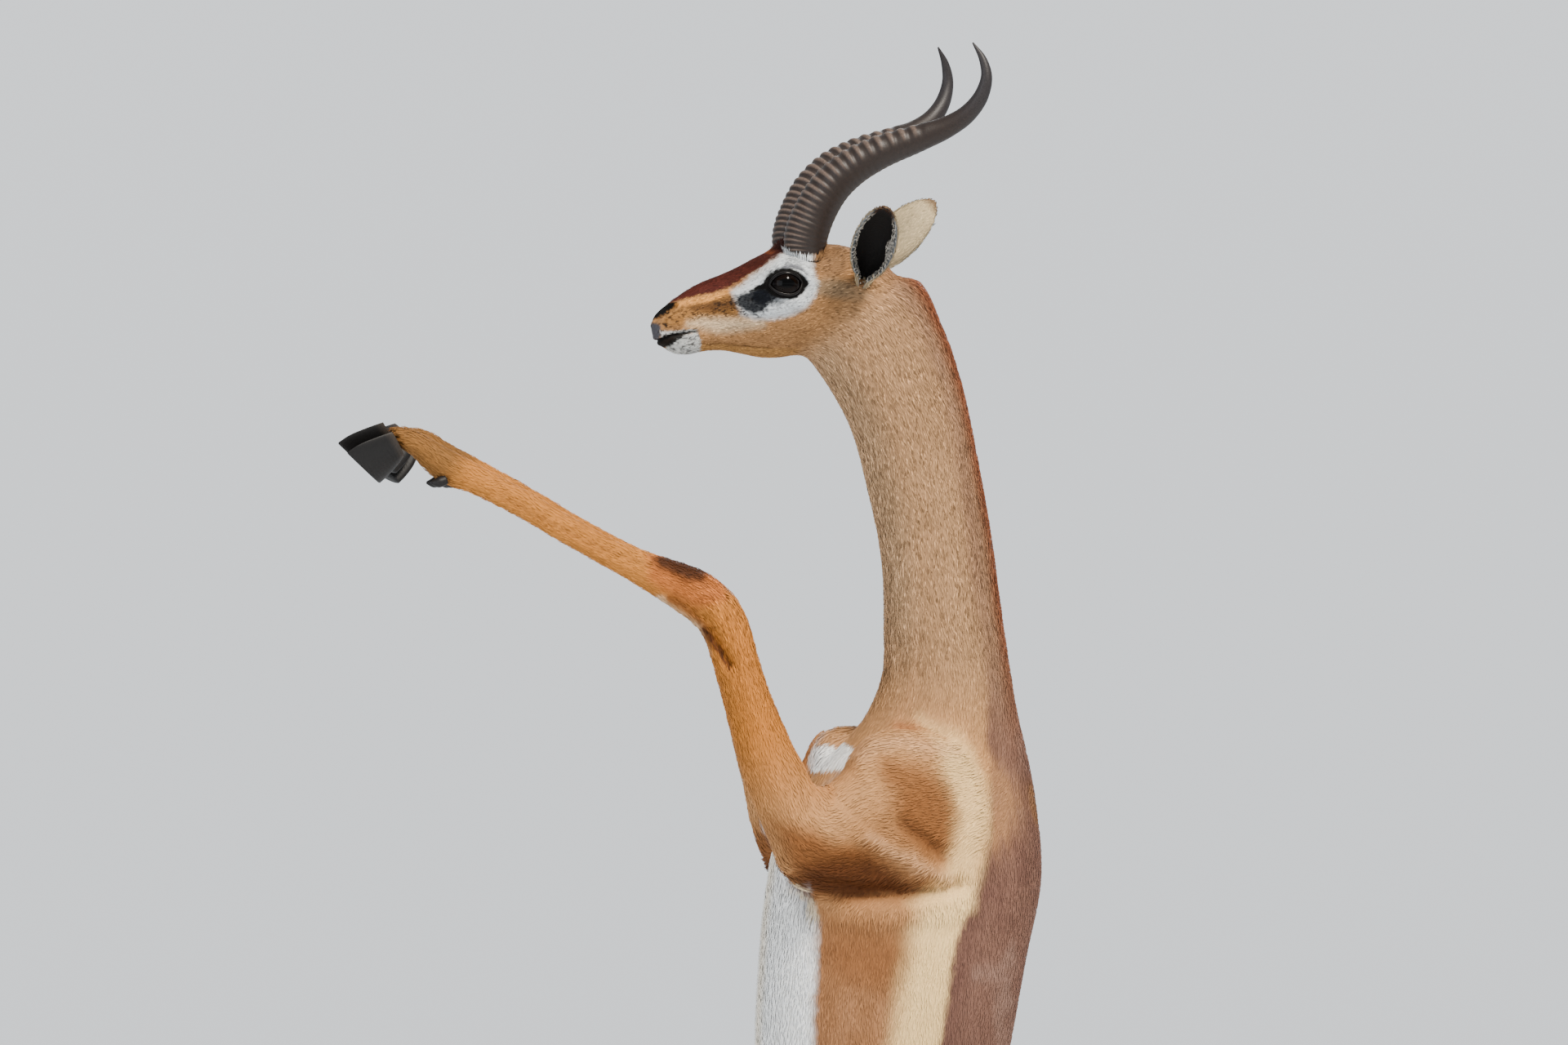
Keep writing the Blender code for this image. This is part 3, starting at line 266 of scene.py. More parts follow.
def noise(points: Array, cell: float, seed: int) -> Array:
    """Smooth noise from -1 to 1: hashed values at a lattice's corners, blended by soft steps.

    Args:
        points: rows of coordinates in metres.
        cell: the lattice's spacing in metres.
        seed: chooses another pattern.

    Returns:
        One value for each row.
    """
    at = points / cell
    corner = np.floor(at).astype(np.int64)
    t = at - corner
    t = t * t * (3 - 2 * t)
    total = np.zeros(len(points))
    for offset in np.ndindex(2, 2, 2):
        key = (corner + offset) @ np.array([73856093, 19349663, 83492791]) + seed * 668265263
        key = ((key & 0xFFFFFFFF) ^ ((key & 0xFFFFFFFF) >> 13)) * 1274126177 & 0xFFFFFFFF
        value = (key ^ (key >> 16)) / 2**31 - 1
        total += value * np.prod(np.where(offset, t, 1 - t), axis=1)
    return total


def smooth_curve(knots: Array, values: Array, at: Array) -> Array:
    """Cubic interpolation, with slopes from each knot's two neighbours.

    Args:
        knots: rising places.
        values: a row of values at each.
        at: the places wanted.

    Returns:
        A row of values at each place wanted.
    """
    step = np.diff(knots)[:, None]
    rise = np.diff(values, axis=0) / step
    slope = np.empty_like(values)
    slope[0], slope[-1] = rise[0], rise[-1]
    slope[1:-1] = (rise[:-1] * step[1:] + rise[1:] * step[:-1]) / (step[1:] + step[:-1])
    i = np.clip(np.searchsorted(knots, at, side="right") - 1, 0, len(knots) - 2)
    h = step[i]
    t = ((at - knots[i])[:, None]) / h
    return (
        (2 * t**3 - 3 * t**2 + 1) * values[i]
        + (t**3 - 2 * t**2 + t) * h * slope[i]
        + (3 * t**2 - 2 * t**3) * values[i + 1]
        + (t**3 - t**2) * h * slope[i + 1]
    )


def run_lengths(path: Array) -> Array:
    """The distance along a path of straight runs to each of its points."""
    return np.concatenate([[0], np.cumsum(np.linalg.norm(np.diff(path, axis=0), axis=1))])


def stroke_gap(points: Array, path: Array, halves: float | Array = 0.0) -> Array:
    """Each flat point's distance from a stroke: from the nearest place of its line, less its half width.

    Args:
        points: rows of two coordinates.
        path: the stroke's corners.
        halves: its half width, or one for each corner.

    Returns:
        The distances, which are less than 0 inside the stroke.
    """
    widths = np.broadcast_to(halves, len(path))
    nearest = np.full(len(points), np.inf)
    for start, end, first, last in zip(path[:-1], path[1:], widths[:-1], widths[1:]):
        run = end - start
        share = np.clip((points - start) @ run / (run @ run), 0, 1)
        away = points - start - share[:, None] * run
        nearest = np.minimum(nearest, np.hypot(away[:, 0], away[:, 1]) - first - (last - first) * share)
    return nearest


def stroke_mask(points: Array, path: Array, halves: float | Array, soft: float) -> Array:
    """1 inside a brush stroke and 0 outside, over an edge that wide."""
    return 1 - ease(stroke_gap(points, path, halves), -soft / 2, soft / 2)


def patch_mask(points: Array, outline: Array, soft: float) -> Array:
    """1 inside a closed outline and 0 outside, by the signed distance from its edge.

    A point is inside where a level ray from it crosses the outline an odd number of times.

    Args:
        points: rows of two coordinates.
        outline: its corners.
        soft: how wide the edge is.

    Returns:
        One mask value a point.
    """
    x, y = points.T
    loop = np.concatenate([outline, outline[:1]])
    inside = np.zeros(len(points), bool)
    for (ax, ay), (bx, by) in zip(loop[:-1], loop[1:]):
        crossed = (ay > y) != (by > y)
        slope = (bx - ax) / (by - ay) if by != ay else 0.0
        inside ^= crossed & (x < ax + slope * (y - ay))
    away = stroke_gap(points, loop)
    return 1 - ease(np.where(inside, -away, away), -soft / 2, soft / 2)


def spot_rise(points: Array, centre: Array, slant: float, reach: float, breadth: float) -> Array:
    """A Gaussian mound of height one.

    Args:
        points: rows of two coordinates.
        centre: the mound's middle.
        slant: the direction in degrees along which it is long.
        reach: its size along that.
        breadth: its size across.

    Returns:
        One height a point.
    """
    cos, sin = math.cos(math.radians(slant)), math.sin(math.radians(slant))
    away = points - centre
    along = (away[:, 0] * cos + away[:, 1] * sin) / reach
    across = (away[:, 1] * cos - away[:, 0] * sin) / breadth
    return np.exp(-(along**2) - across**2)


def line_rise(points: Array, path: Array, breadth: float) -> Array:
    """A Gaussian ridge of height one along a line: e to the minus of (distance / breadth) squared."""
    return gaussian(stroke_gap(points, path), 0, breadth)


def mesh_object(name: str, points: Array, *face_sets: Array) -> Object:
    """A smooth-shaded mesh object from whole arrays.

    Args:
        name: the object's name.
        points: (n, 3) coordinates.
        face_sets: (m, k) corner indices, one array for each number of corners.

    Returns:
        The new object, linked to the scene.
    """
    loops = np.concatenate([faces.ravel() for faces in face_sets])
    sizes = np.concatenate([np.full(len(faces), faces.shape[1]) for faces in face_sets])
    mesh = bpy.data.meshes.new(name)
    mesh.vertices.add(len(points))
    mesh.vertices.foreach_set("co", np.asarray(points, np.float32).ravel())
    mesh.loops.add(len(loops))
    mesh.loops.foreach_set("vertex_index", loops.astype(np.int32))
    mesh.polygons.add(len(sizes))
    mesh.polygons.foreach_set("loop_start", (np.cumsum(sizes) - sizes).astype(np.int32))
    mesh.update(calc_edges=True)
    mesh.validate()
    mesh.shade_smooth()
    return linked(bpy.data.objects.new(name, mesh))


def linked(obj: Object) -> Object:
    """The object, once it is in the scene."""
    bpy.context.scene.collection.objects.link(obj)
    return obj


def pull(items: bpy.types.bpy_prop_collection, name: str, width: int, kind: type = np.float32) -> Array:
    """One property of all a mesh's items, a row of numbers each.

    Args:
        items: the mesh's vertices, edges or the like.
        name: the property.
        width: how many numbers it has.
        kind: their type.

    Returns:
        One row an item.
    """
    flat = np.empty(len(items) * width, kind)
    items.foreach_get(name, flat)
    return flat.reshape(-1, width)


def mesh_points(obj: Object) -> Array:
    """The mesh's vertex coordinates as rows."""
    return pull(obj.data.vertices, "co", 3).astype(float)


def mesh_normals(obj: Object) -> Array:
    """The mesh's vertex normals as rows."""
    return pull(obj.data.vertex_normals, "vector", 3).astype(float)


def set_points(obj: Object, points: Array) -> None:
    """Puts rows of coordinates into the mesh."""
    obj.data.vertices.foreach_set("co", np.asarray(points, np.float32).ravel())
    obj.data.update()


def relax(obj: Object, points: Array, weight: Array, rounds: int) -> None:
    """Moves each point towards the mean of its neighbours by its weight, round after round.

    Args:
        obj: the mesh object that has the edges and takes the points.
        points: where its points start.
        weight: each point's weight.
        rounds: how many times.
    """
    edges = pull(obj.data.edges, "vertices", 2, np.int32)
    size = len(points)
    count = np.maximum(np.bincount(edges.ravel(), minlength=size), 1)[:, None]
    a, b = edges.T
    for _ in range(rounds):
        mean = columns(
            *(np.bincount(a, points[b, k], size) + np.bincount(b, points[a, k], size) for k in range(3))
        )
        points = points + weight[:, None] * (mean / count - points)
    set_points(obj, points)


def paint_attribute(obj: Object, name: str, colours: Array) -> None:
    """Stores a linear colour for each vertex under that name.

    Args:
        obj: the mesh object.
        name: the attribute's name.
        colours: a row a vertex, or one colour for all.
    """
    rows = np.ones((len(obj.data.vertices), 4), np.float32)
    rows[:, :3] = np.clip(colours, 0, 1)
    obj.data.color_attributes.new(name, "FLOAT_COLOR", "POINT").data.foreach_set("color", rows.ravel())


@contextmanager
def edited(obj: Object) -> Iterator[bmesh.types.BMesh]:
    """Opens an object's mesh for changes, and writes them back.

    Args:
        obj: the mesh object.

    Returns:
        The open mesh, for the length of a with block.
    """
    edit = bmesh.new()
    edit.from_mesh(obj.data)
    yield edit
    edit.to_mesh(obj.data)
    edit.free()


def evaluated(obj: Object) -> Object:
    """The object as its modifiers leave it."""
    bpy.context.view_layer.update()
    return obj.evaluated_get(bpy.context.evaluated_depsgraph_get())


def turn_outward(obj: Object) -> Object:
    """Turns a closed mesh's faces outwards.

    Args:
        obj: the mesh object.

    Returns:
        The same object.
    """
    with edited(obj) as edit:
        bmesh.ops.recalc_face_normals(edit, faces=edit.faces)
    return obj


def closed(rings: Array) -> tuple[Array, Array, Array]:
    """A tube closed at each end by a fan to a pole at the last ring's mean.

    Args:
        rings: (rows, columns, 3) ring points.

    Returns:
        The points with the two poles last, the quads round the tube and the fans' triangles.
    """
    index = np.arange(rings.size // 3).reshape(rings.shape[:2])
    after = np.roll(index, -1, axis=1)
    quads = np.stack([index[:-1], after[:-1], after[1:], index[1:]], -1).reshape(-1, 4)
    start = columns(index.size, after[0], index[0])
    end = columns(index.size + 1, index[-1], after[-1])
    points = np.concatenate([rings.reshape(-1, 3), rings[0].mean(0)[None], rings[-1].mean(0)[None]])
    return points, quads, np.concatenate([start, end])


def tube_object(name: str, rings: Array) -> Object:
    """A closed tube through (rows, columns, 3) ring points, with a pole at each end."""
    return turn_outward(mesh_object(name, *closed(rings)))


def with_poles(colours: Array) -> Array:
    """A tube's colours ring by ring, followed by those of its two poles."""
    flat = colours.reshape(-1, 3)
    return np.concatenate([flat, flat[:1], flat[-1:]])


def middles(rows: Array) -> Array:
    """The points half way from each station's front to its back."""
    return columns((rows[:, 0] + rows[:, 2]) / 2, rows[:, 5], (rows[:, 1] + rows[:, 3]) / 2)


def foreleg_stations(side: Side) -> Array:
    """The shoulder and foreleg of one side. The right leg is held a little further back.

    Args:
        side: the leg's side.

    Returns:
        Stations from the shoulder to the foot.
    """
    leg = FORELEG.copy()
    if side is Side.RIGHT:
        leg[:3, [0, 2]] += np.array(RIGHT_ELBOW_BACK)[:, None]
        leg[3:, [0, 2]] += RIGHT_FORELEG_BACK
    return np.concatenate([SHOULDER, UPPER_ARM[side], leg])


def hindleg_stations(side: Side) -> Array:
    """A hind leg leaned from the hip so that its foot takes its own step.

    Args:
        side: the leg's side.

    Returns:
        Stations from the hip to the foot.
    """
    leg = HINDLEG.copy()
    drop = HIP_Z - middles(leg)[:, 2]
    leg[:, [0, 2]] += (HIND_STEP[side] / drop[-1] * np.minimum(drop, drop[-1]))[:, None]
    return leg


class Located(NamedTuple):
    """Points in a body form's own coordinates: from front to back, sideways, and how far off it."""

    share: Array
    along: Array
    aft: Array
    out: Array
    gap: Array
    direction: Array
    half_depth: Array
    half_width: Array


@dataclass(frozen=True)
class BodyForm:
    """A closed body form lofted through stations, and the coordinates that run along and round it."""

    stations: Array
    side: int = 1
    start_cap: float = 0.03
    end_cap: float = 0.004
    spacing: float = 0.004
    around: int = 84
    samples: int = 72
    block: int = 20000

    def rows(self) -> tuple[Array, Array]:
        """The stations on this side, and each one's distance along the middle line."""
        rows = self.stations * [1, 1, 1, 1, 1, self.side, 1, 1]
        return rows, run_lengths((rows[:, 0:2] + rows[:, 2:4]) / 2)

    def shell(self) -> tuple[Array, Array, Array]:
        """The form's closed surface.

        A ring's point at angle a is its widest line's middle, plus cos a towards back or front
        and sin a sideways, each raised to 2 / power. Rings shrink as a quarter circle at a cap.

        Returns:
            The points, quads and pole triangles.
        """
        rows, knots = self.rows()
        body = np.linspace(self.start_cap, knots[-1] - self.end_cap, int(knots[-1] / self.spacing))
        rise = 1 - np.cos(np.linspace(0, math.pi / 2, 8)[1:-1])
        places = np.concatenate([self.start_cap * rise, body, knots[-1] - self.end_cap * rise[::-1]])
        values = smooth_curve(knots, rows, places)
        size = np.sqrt(1 - (1 - np.clip(places / self.start_cap, 0, 1)) ** 2)
        size *= np.sqrt(1 - (1 - np.clip((knots[-1] - places) / self.end_cap, 0, 1)) ** 2)
        angle = circle(self.around)
        power = 2 / values[:, 7:8]
        along = np.sign(np.cos(angle)) * np.abs(np.cos(angle)) ** power
        across = np.sign(np.sin(angle)) * np.abs(np.sin(angle)) ** power
        front, back = values[:, 0:2], values[:, 2:4]
        waist = front + (back - front) * values[:, 6:7]
        reach = np.where(along[..., None] > 0, (back - waist)[:, None], (waist - front)[:, None])
        flat = waist[:, None] + along[..., None] * reach * size[:, None, None]
        y = values[:, 5:6] + across * values[:, 4:5] * size[:, None]
        return closed(columns(flat[..., 0], y, flat[..., 1]))

    def locate(self, points: Array) -> Located:
        """Where points lie on the form.

        The nearest sample of the middle line gives the place along, and the section there gives
        the shares of its half depth and half width.

        Args:
            points: rows of coordinates.

        Returns:
            Their coordinates on the form.
        """
        rows, knots = self.rows()
        places = np.linspace(0, knots[-1], self.samples)
        values = smooth_curve(knots, rows, places)
        middle = middles(values)
        tangent = unit(np.gradient(middle, places, axis=0))
        nearest = np.concatenate([
            ((middle**2).sum(1)[None] - 2 * points[start : start + self.block] @ middle.T).argmin(axis=1)
            for start in range(0, len(points), self.block)
        ])
        ahead = dots(points - middle[nearest], tangent[nearest])
        along = np.clip(places[nearest] + ahead, 0, knots[-1])
        here = columns(*(np.interp(along, places, column) for column in values.T))
        depth = here[:, 2:4] - here[:, 0:2]
        half = np.linalg.norm(depth, axis=1) / 2
        aft_axis = columns(depth[:, 0], 0, depth[:, 1]) / (2 * half[:, None])
        away = points - middles(here)
        aft = dots(away, aft_axis) / half
        out = away[:, 1] / here[:, 4]
        past = dots(away, tangent[nearest])
        beyond = np.linalg.norm(away - past[:, None] * tangent[nearest], axis=1)
        gap = beyond * (1 - 1 / np.maximum(np.hypot(aft, out), 0.2)) + np.abs(past)
        turn = unit(columns(*(np.interp(along, places, column) for column in tangent.T)))
        return Located(along / knots[-1], along, aft, out * self.side, gap, turn, half, here[:, 4])


def body_forms() -> dict[str, BodyForm]:
    """All the forms of the body, by name. Hair runs along each from its first station, or back.

    Returns:
        The forms in the order in which they are fused and mixed.
    """
    forms = {
        "trunk": BodyForm(TRUNK, end_cap=0.02),
        "head": BodyForm(HEAD, 1, 0.006, 0.02, spacing=0.0015, around=120),
        "dock": BodyForm(DOCK, 1, 0.006, around=40),
    }
    for side in Side:
        forms[f"foreleg_{side.word}"] = BodyForm(foreleg_stations(side), side.value, 0.02, around=64)
        forms[f"hindleg_{side.word}"] = BodyForm(hindleg_stations(side), side.value, around=72)
    return forms


def fuse(name: str, shells: list[tuple[Array, Array, Array]], voxel: float) -> Object:
    """Makes one closed surface round overlapping closed shells, by a voxel remesh.

    Args:
        name: the object's name.
        shells: each shell's points, quads and triangles.
        voxel: the remesh's cell in metres.

    Returns:
        The fused object.
    """
    offsets = np.cumsum([0, *(len(shell[0]) for shell in shells)])
    points = np.concatenate([shell[0] for shell in shells])
    faces = [np.concatenate([shell[k] + offset for shell, offset in zip(shells, offsets)]) for k in (1, 2)]
    rough = turn_outward(mesh_object(f"{name}_shells", points, *faces))
    modifier = rough.modifiers.new("Fuse", "REMESH")
    modifier.mode = "VOXEL"
    modifier.voxel_size = voxel
    obj = linked(bpy.data.objects.new(name, bpy.data.meshes.new_from_object(evaluated(rough))))
    bpy.data.objects.remove(rough)
    return obj


# Swellings and hollows of the flank: x and z, reach, breadth and rise, and the slant in degrees.
SWELLS = (
    (14, 1402, 46, 24, -5.6, 118), (-70, 1392, 45, 20, 3, 55),
    (-30, 1425, 30, 14, -3, 100), (95, 1400, 50, 12, -2.6, 85),
    (-20, 1215, 80, 45, 3, 80), (-48, 1262, 42, 16, -3.6, 25),
    (60, 1180, 120, 30, 1.8, 85), (-40, 1030, 80, 35, -6, 65),
    (60, 1010, 50, 24, -3.5, 80), (10, 860, 70, 35, 4, 60), (80, 850, 60, 25, 3.5, 80),
    (45, 880, 80, 10, -3, 85), (-70, 700, 45, 16, 3, 70), (-20, 600, 60, 12, 2.5, 60),
    (40, 500, 60, 7, -4.5, 60), (60, 1620, 120, 14, 2, 85), (22, 1600, 120, 10, -2.6, 82),
)
UNDER_SHOULDER = line(-118, 1334, -92, 1325, -44, 1320, -4, 1321, 23, 1325, 48, 1331)
SHOULDER_CREST = line(-50, 1452, -33, 1462, -5, 1467, 14, 1459, 48, 1456)
SHOULDER_REAR = line(56, 1452, 74, 1428, 76, 1392, 69, 1352, 54, 1328)
SHOULDER_BAR = line(-50, 1374, -17, 1359, 11, 1344, 36, 1334)
SHOULDER_PIT = line(-12, 1386, 10, 1372, 30, 1359)
# Soft grooves and ridges along lines in x and z: breadth, rise and the least |y| that each reaches.
FOLDS = (
    (UNDER_SHOULDER, 8, -10.5, 50),
    (line(-92, 1301, -40, 1296, 20, 1300, 50, 1306), 11, 3.2, 50),
    (SHOULDER_CREST, 11, 4.5, 45),
    (SHOULDER_REAR, 11, 4.8, 45),
    (SHOULDER_BAR, 8.5, 5.8, 60),
    (SHOULDER_PIT, 8.5, -5, 60),
    (line(-108, 1350, -70, 1347, -35, 1343), 10, -3.4, 60),
    (line(-64, 1400, -88, 1428, -112, 1466), 5, -2.2, 60),
    (line(-100, 1380, -122, 1420, -146, 1480), 6, -1.8, 80),
    (line(-78, 965, -94, 900, -104, 820), 10, 2.8, 40),
    (line(6, 1560, 4, 1525, -18, 1490), 5.5, -2.6, 20),
    (line(22, 1560, 20, 1520, 2, 1488), 5, -2, 20),
)
KNEE_GROOVE = line(-234, 1601, -220, 1593, -205, 1580, -195, 1565, -180, 1537)
KNEE_SLIT = line(-202, 1572, -190, 1555, -179, 1536)
CANNON_LINE = line(-252, 1632, -282, 1642, -339, 1667, -395, 1697)
# The same on the lower legs: knee hollows and ridges, and the run of the tendons.
LEG_FOLDS = (
    (KNEE_GROOVE, 3.6, -5, 50),
    (KNEE_SLIT, 3, -5.2, 50),
    (line(-176, 1603, -166, 1583, -158, 1565), 4, 2.6, 50),
    (line(-222, 1624, -204, 1610, -192, 1592), 7, 2.2, 50),
    (CANNON_LINE, 3, -2, 50),
    (line(-256, 1642, -332, 1677, -398, 1711), 3, 1, 50),
    (line(60, 330, 56, 240, 50, 175), 3, -2.2, 50),
    (line(70, 395, 66, 365, 66, 335), 3.4, -2.6, 50),
)
MOUTH_LINE = line(-1, -13.5, 3.6, -13.1, 9.3, -10.8, 16, -9.9, 23.5, -10.4, 31.4, -11.2, 42.3, -13)
NOSTRIL_LINE = line(5.8, 7.2, 10.5, 11.2, 19, 14.2, 27, 16.2, 31.8, 17.2)
NOSTRIL_HALVES = mm((1, 2.4, 3, 2.2, 0.4))
GLAND_SLIT = line(97.5, 3.6, 98.5, 4.2)
JAW_CREASE = line(42, -24.8, 65.1, -30.8, 91.9, -41.2, 111.5, -48)
BROW_CREASE = line(122, 23.2, 128.9, 24.8, 139.3, 25.4, 149.8, 20, 154.5, 12)
CHEEK_HOLLOW = line(70, -4, 100, -16, 140, -22)


def almond(points: Array) -> Array:
    """How far out of the eye's opening each (u, v) point lies: 1 on the lids' edge, 0 at its middle.

    Args:
        points: rows of u and v.

    Returns:
        One measure a point.
    """
    du, dv = points[:, 0] - EYE_U, points[:, 1] - EYE_V
    across = (dv - LID_TILT * du) / (LID_HEIGHT / 2)
    along = du / (LID_LENGTH / 2)
    pinch = np.abs(np.sin(np.arctan2(np.abs(across), np.abs(along)))) ** LID_PINCH
    return np.hypot(along, across / np.maximum(pinch, 0.25))


def level_leg(points: Array) -> Array:
    """Each point's x and z, with the right foreleg moved forward to where the left one is."""
    right = (points[:, 1] > 0.052) * ease(points[:, 2], 1.40, 1.50)
    return columns(points[:, 0] - RIGHT_FORELEG_BACK * right, points[:, 2])


def forehead_tuft(points: Array, middle: float, breadth: float, low: float) -> Array:
    """1 at the ridge of long hair in front of the horns, falling off as a Gaussian."""
    u, v = head_uv(points).T
    return gaussian(u, middle, 0.011) * gaussian(points[:, 1], 0, breadth) * ease(v, low, 0.040)


@dataclass
class Hide:
    """The animal's whole skin as one closed surface, inside the solids by the coat's depth."""

    voxel: float = 0.0056
    fine_voxel: float = 0.0017
    junction: float = 0.022
    coat_depth: float = 0.0026
    face_depth: float = 0.0011
    head_reach: float = 0.190
    face_reach: float = 0.112
    head_middle: tuple[float, float] = (0.120, -0.005)
    face_middle: tuple[float, float] = (0.088, -0.006)
    relief_fade: float = 0.012
    lid_out: float = 0.0012
    lid_edge: float = 1.62

    def __post_init__(self) -> None:
        """Makes the forms that every step measures from."""
        self.forms = body_forms()

    def head_shell(self) -> tuple[Array, Array, Array]:
        """The head's shell, its sides moved out by the skull's relief, which fades at its middle.

        Returns:
            Its points, quads and pole triangles.
        """
        points, quads, fans = self.forms["head"].shell()
        uv = head_uv(points)
        out = sum(h * spot_rise(uv, (u, v), 0, ru, rv) for u, v, ru, rv, h in mm(HEAD_RELIEF))
        points[:, 1] += out * np.clip(points[:, 1] / self.relief_fade, -1, 1)
        return points, quads, fans

    def soften(self, obj: Object, everywhere: float, rounds: int) -> None:
        """Smooths the creases where forms meet: the weight is high where two forms are both near.

        Args:
            obj: the fused skin.
            everywhere: the weight away from creases.
            rounds: how many times it is relaxed.
        """
        points = mesh_points(obj)
        gaps = np.sort(np.abs([form.locate(points).gap for form in self.forms.values()]), axis=0)
        weight = everywhere + (0.6 - everywhere) * (1 - ease(gaps[1], 0.003, self.junction))
        relax(obj, points, weight, rounds)

    def split(self, obj: Object, centre: Array, reach: float) -> None:
        """Cuts each edge near a centre in two, which makes four faces of one.

        Args:
            obj: the skin.
            centre: the middle of the part that is cut.
            reach: how far from it both of an edge's ends may lie.
        """
        middle = Vector(centre)
        with edited(obj) as edit:
            edges = [e for e in edit.edges if all((v.co - middle).length < reach for v in e.verts)]
            bmesh.ops.subdivide_edges(edit, edges=edges, cuts=1, use_grid_fill=True)

    def refine(self, obj: Object) -> None:
        """Gives the head finer faces and lays them on a finely fused copy of the head and neck.

        Args:
            obj: the skin.
        """
        centre = head_point(*self.head_middle)
        self.split(obj, centre, self.head_reach)
        self.split(obj, head_point(*self.face_middle), self.face_reach)
        neck_top = BodyForm(TRUNK[13:], end_cap=0.02).shell()
        fine = fuse("fine_head", [self.head_shell(), neck_top], self.fine_voxel)
        self.soften(fine, 0.10, 110)
        points = mesh_points(obj)
        away = np.linalg.norm(points - centre, axis=1)
        share = 1 - ease(away, self.head_reach - 0.045, self.head_reach - 0.008)
        group = obj.vertex_groups.new(name="head")
        group.add(np.nonzero(share > 0)[0].tolist(), 1.0, "REPLACE")
        for _ in range(2):
            wrap = obj.modifiers.new("Wrap", "SHRINKWRAP")
            wrap.target = fine
            wrap.wrap_method = "NEAREST_SURFACEPOINT"
            wrap.vertex_group = "head"
            laid = mesh_points(evaluated(obj))
            obj.modifiers.remove(wrap)
            relax(obj, points + share[:, None] * (laid - points), 0.35 * share, 2)
            points = mesh_points(obj)
        obj.vertex_groups.clear()
        bpy.data.objects.remove(fine)

    def muscle(self, points: Array, normals: Array) -> Array:
        """How far each body point rises or sinks: swellings and folds, strongest on the flanks.

        Args:
            points: rows of coordinates.
            normals: the skin's normals there.

        Returns:
            One rise a point.
        """
        flat = level_leg(points)
        facing = np.clip(np.abs(normals[:, 1]), 0, 1)
        total = np.zeros(len(points))
        for *sizes, slant in SWELLS:
            x, z, reach, breadth, rise = mm(sizes)
            total += rise * spot_rise(flat, (x, z), slant, reach, breadth) * facing**1.5
        for path, *sizes in FOLDS + LEG_FOLDS:
            breadth, rise, least_y = mm(sizes)
            side = ease(np.abs(points[:, 1]), least_y - 0.01, least_y + 0.005)
            total += rise * line_rise(flat, path, breadth) * side * facing**0.5
        return total

    def face(self, points: Array, normals: Array) -> Array:
        """How far each point of the face rises or sinks: lips, nostrils, gland pits and brows.

        Args:
            points: rows of coordinates.
            normals: the skin's normals there.

        Returns:
            One rise a point.
        """
        uv = head_uv(points)
        side = ease(np.abs(points[:, 1]), 0.001, 0.005)
        lateral = ease(np.abs(normals[:, 1]), 0.15, 0.45)
        rise = -0.0052 * stroke_mask(uv, NOSTRIL_LINE, NOSTRIL_HALVES, 0.0016) * side
        for depth, path, raised, breadth, where in (
            (-0.0020, MOUTH_LINE, 0, 0.0014, 1),
            (0.0010, MOUTH_LINE, 0.0038, 0.0022, 1),
            (0.0008, MOUTH_LINE, -0.0038, 0.0020, 1),
            (0.0011, NOSTRIL_LINE, 0.0044, 0.0016, side),
            (0.0010, NOSTRIL_LINE, -0.0048, 0.0018, side),
            (-0.0009, JAW_CREASE, 0, 0.0018, lateral),
            (-0.0012, CHEEK_HOLLOW, 0, 0.0035, lateral),
            (-0.0010, BROW_CREASE, 0, 0.0010, lateral),
        ):
            rise += depth * line_rise(uv, path + [0, raised], breadth) * where
        for depth, reach, breadth in ((-0.0026, 0.0030, 0.0024), (0.0012, 0.0130, 0.0100)):
            rise += depth * spot_rise(uv, GLAND_SLIT[0], 10, reach, breadth) * lateral
        return rise + 0.0042 * forehead_tuft(points, 0.147, 0.014, 0.028)

    def socket(self, points: Array) -> Array:
        """Points round each eye laid over the eyeball as lids, and sunk out of sight within them.

        From the opening's edge outwards the skin leaves the eyeball along a soft step, so that it
        stands as a lid's rounded rim, and inside the opening it drops behind the eyeball.

        Args:
            points: rows of coordinates.

        Returns:
            The rows with those near the eyes moved.
        """
        uv = head_uv(points)
        place = almond(uv)
        du, dv = uv[:, 0] - EYE_U, uv[:, 1] - EYE_V
        out = np.sqrt(np.maximum((EYE_RADIUS + self.lid_out) ** 2 - du**2 - dv**2, 0.0050**2))
        leave = ease(place, 1.05, self.lid_edge)
        away = np.abs(points[:, 1])
        wanted = (EYE_Y + out) * (1 - leave) + away * leave - 0.0075 * ease(place, 0.98, 0.86)
        close = (place < self.lid_edge) & (away > 0.015)
        moved = points.copy()
        moved[close, 1] = np.sign(points[close, 1]) * wanted[close]
        return moved

    def build(self) -> Object:
        """Fuses, smooths, refines and models the skin.

        Returns:
            The skin, as one closed mesh of triangles.
        """
        shells = [self.head_shell() if name == "head" else form.shell() for name, form in self.forms.items()]
        skin = fuse("hide", shells, self.voxel)
        self.soften(skin, 0.12, 16)
        points, normals = mesh_points(skin), mesh_normals(skin)
        set_points(skin, points + normals * self.muscle(points, normals)[:, None])
        self.refine(skin)
        points, normals = mesh_points(skin), mesh_normals(skin)
        bare = ease(np.linalg.norm(points - head_point(0.03, -0.01), axis=1), 0.06, 0.24)
        depth = self.face_depth + (self.coat_depth - self.face_depth) * bare
        points = points - normals * (depth * ease(points[:, 2], 0.05, 0.12))[:, None]
        near = np.linalg.norm(points - head_point(*self.face_middle), axis=1) < self.face_reach
        rise = np.where(near, self.face(points, normals), 0)
        set_points(skin, self.socket(points + normals * rise[:, None]))
        with edited(skin) as edit:
            bmesh.ops.triangulate(edit, faces=edit.faces)
        skin.data.shade_smooth()
        return skin


def linear(code: str) -> Array:
    """An sRGB hex colour as linear light."""
    value = np.array([int(code[i : i + 2], 16) for i in (1, 3, 5)]) / 255
    return np.where(value <= 0.04045, value / 12.92, ((value + 0.055) / 1.055) ** 2.4)


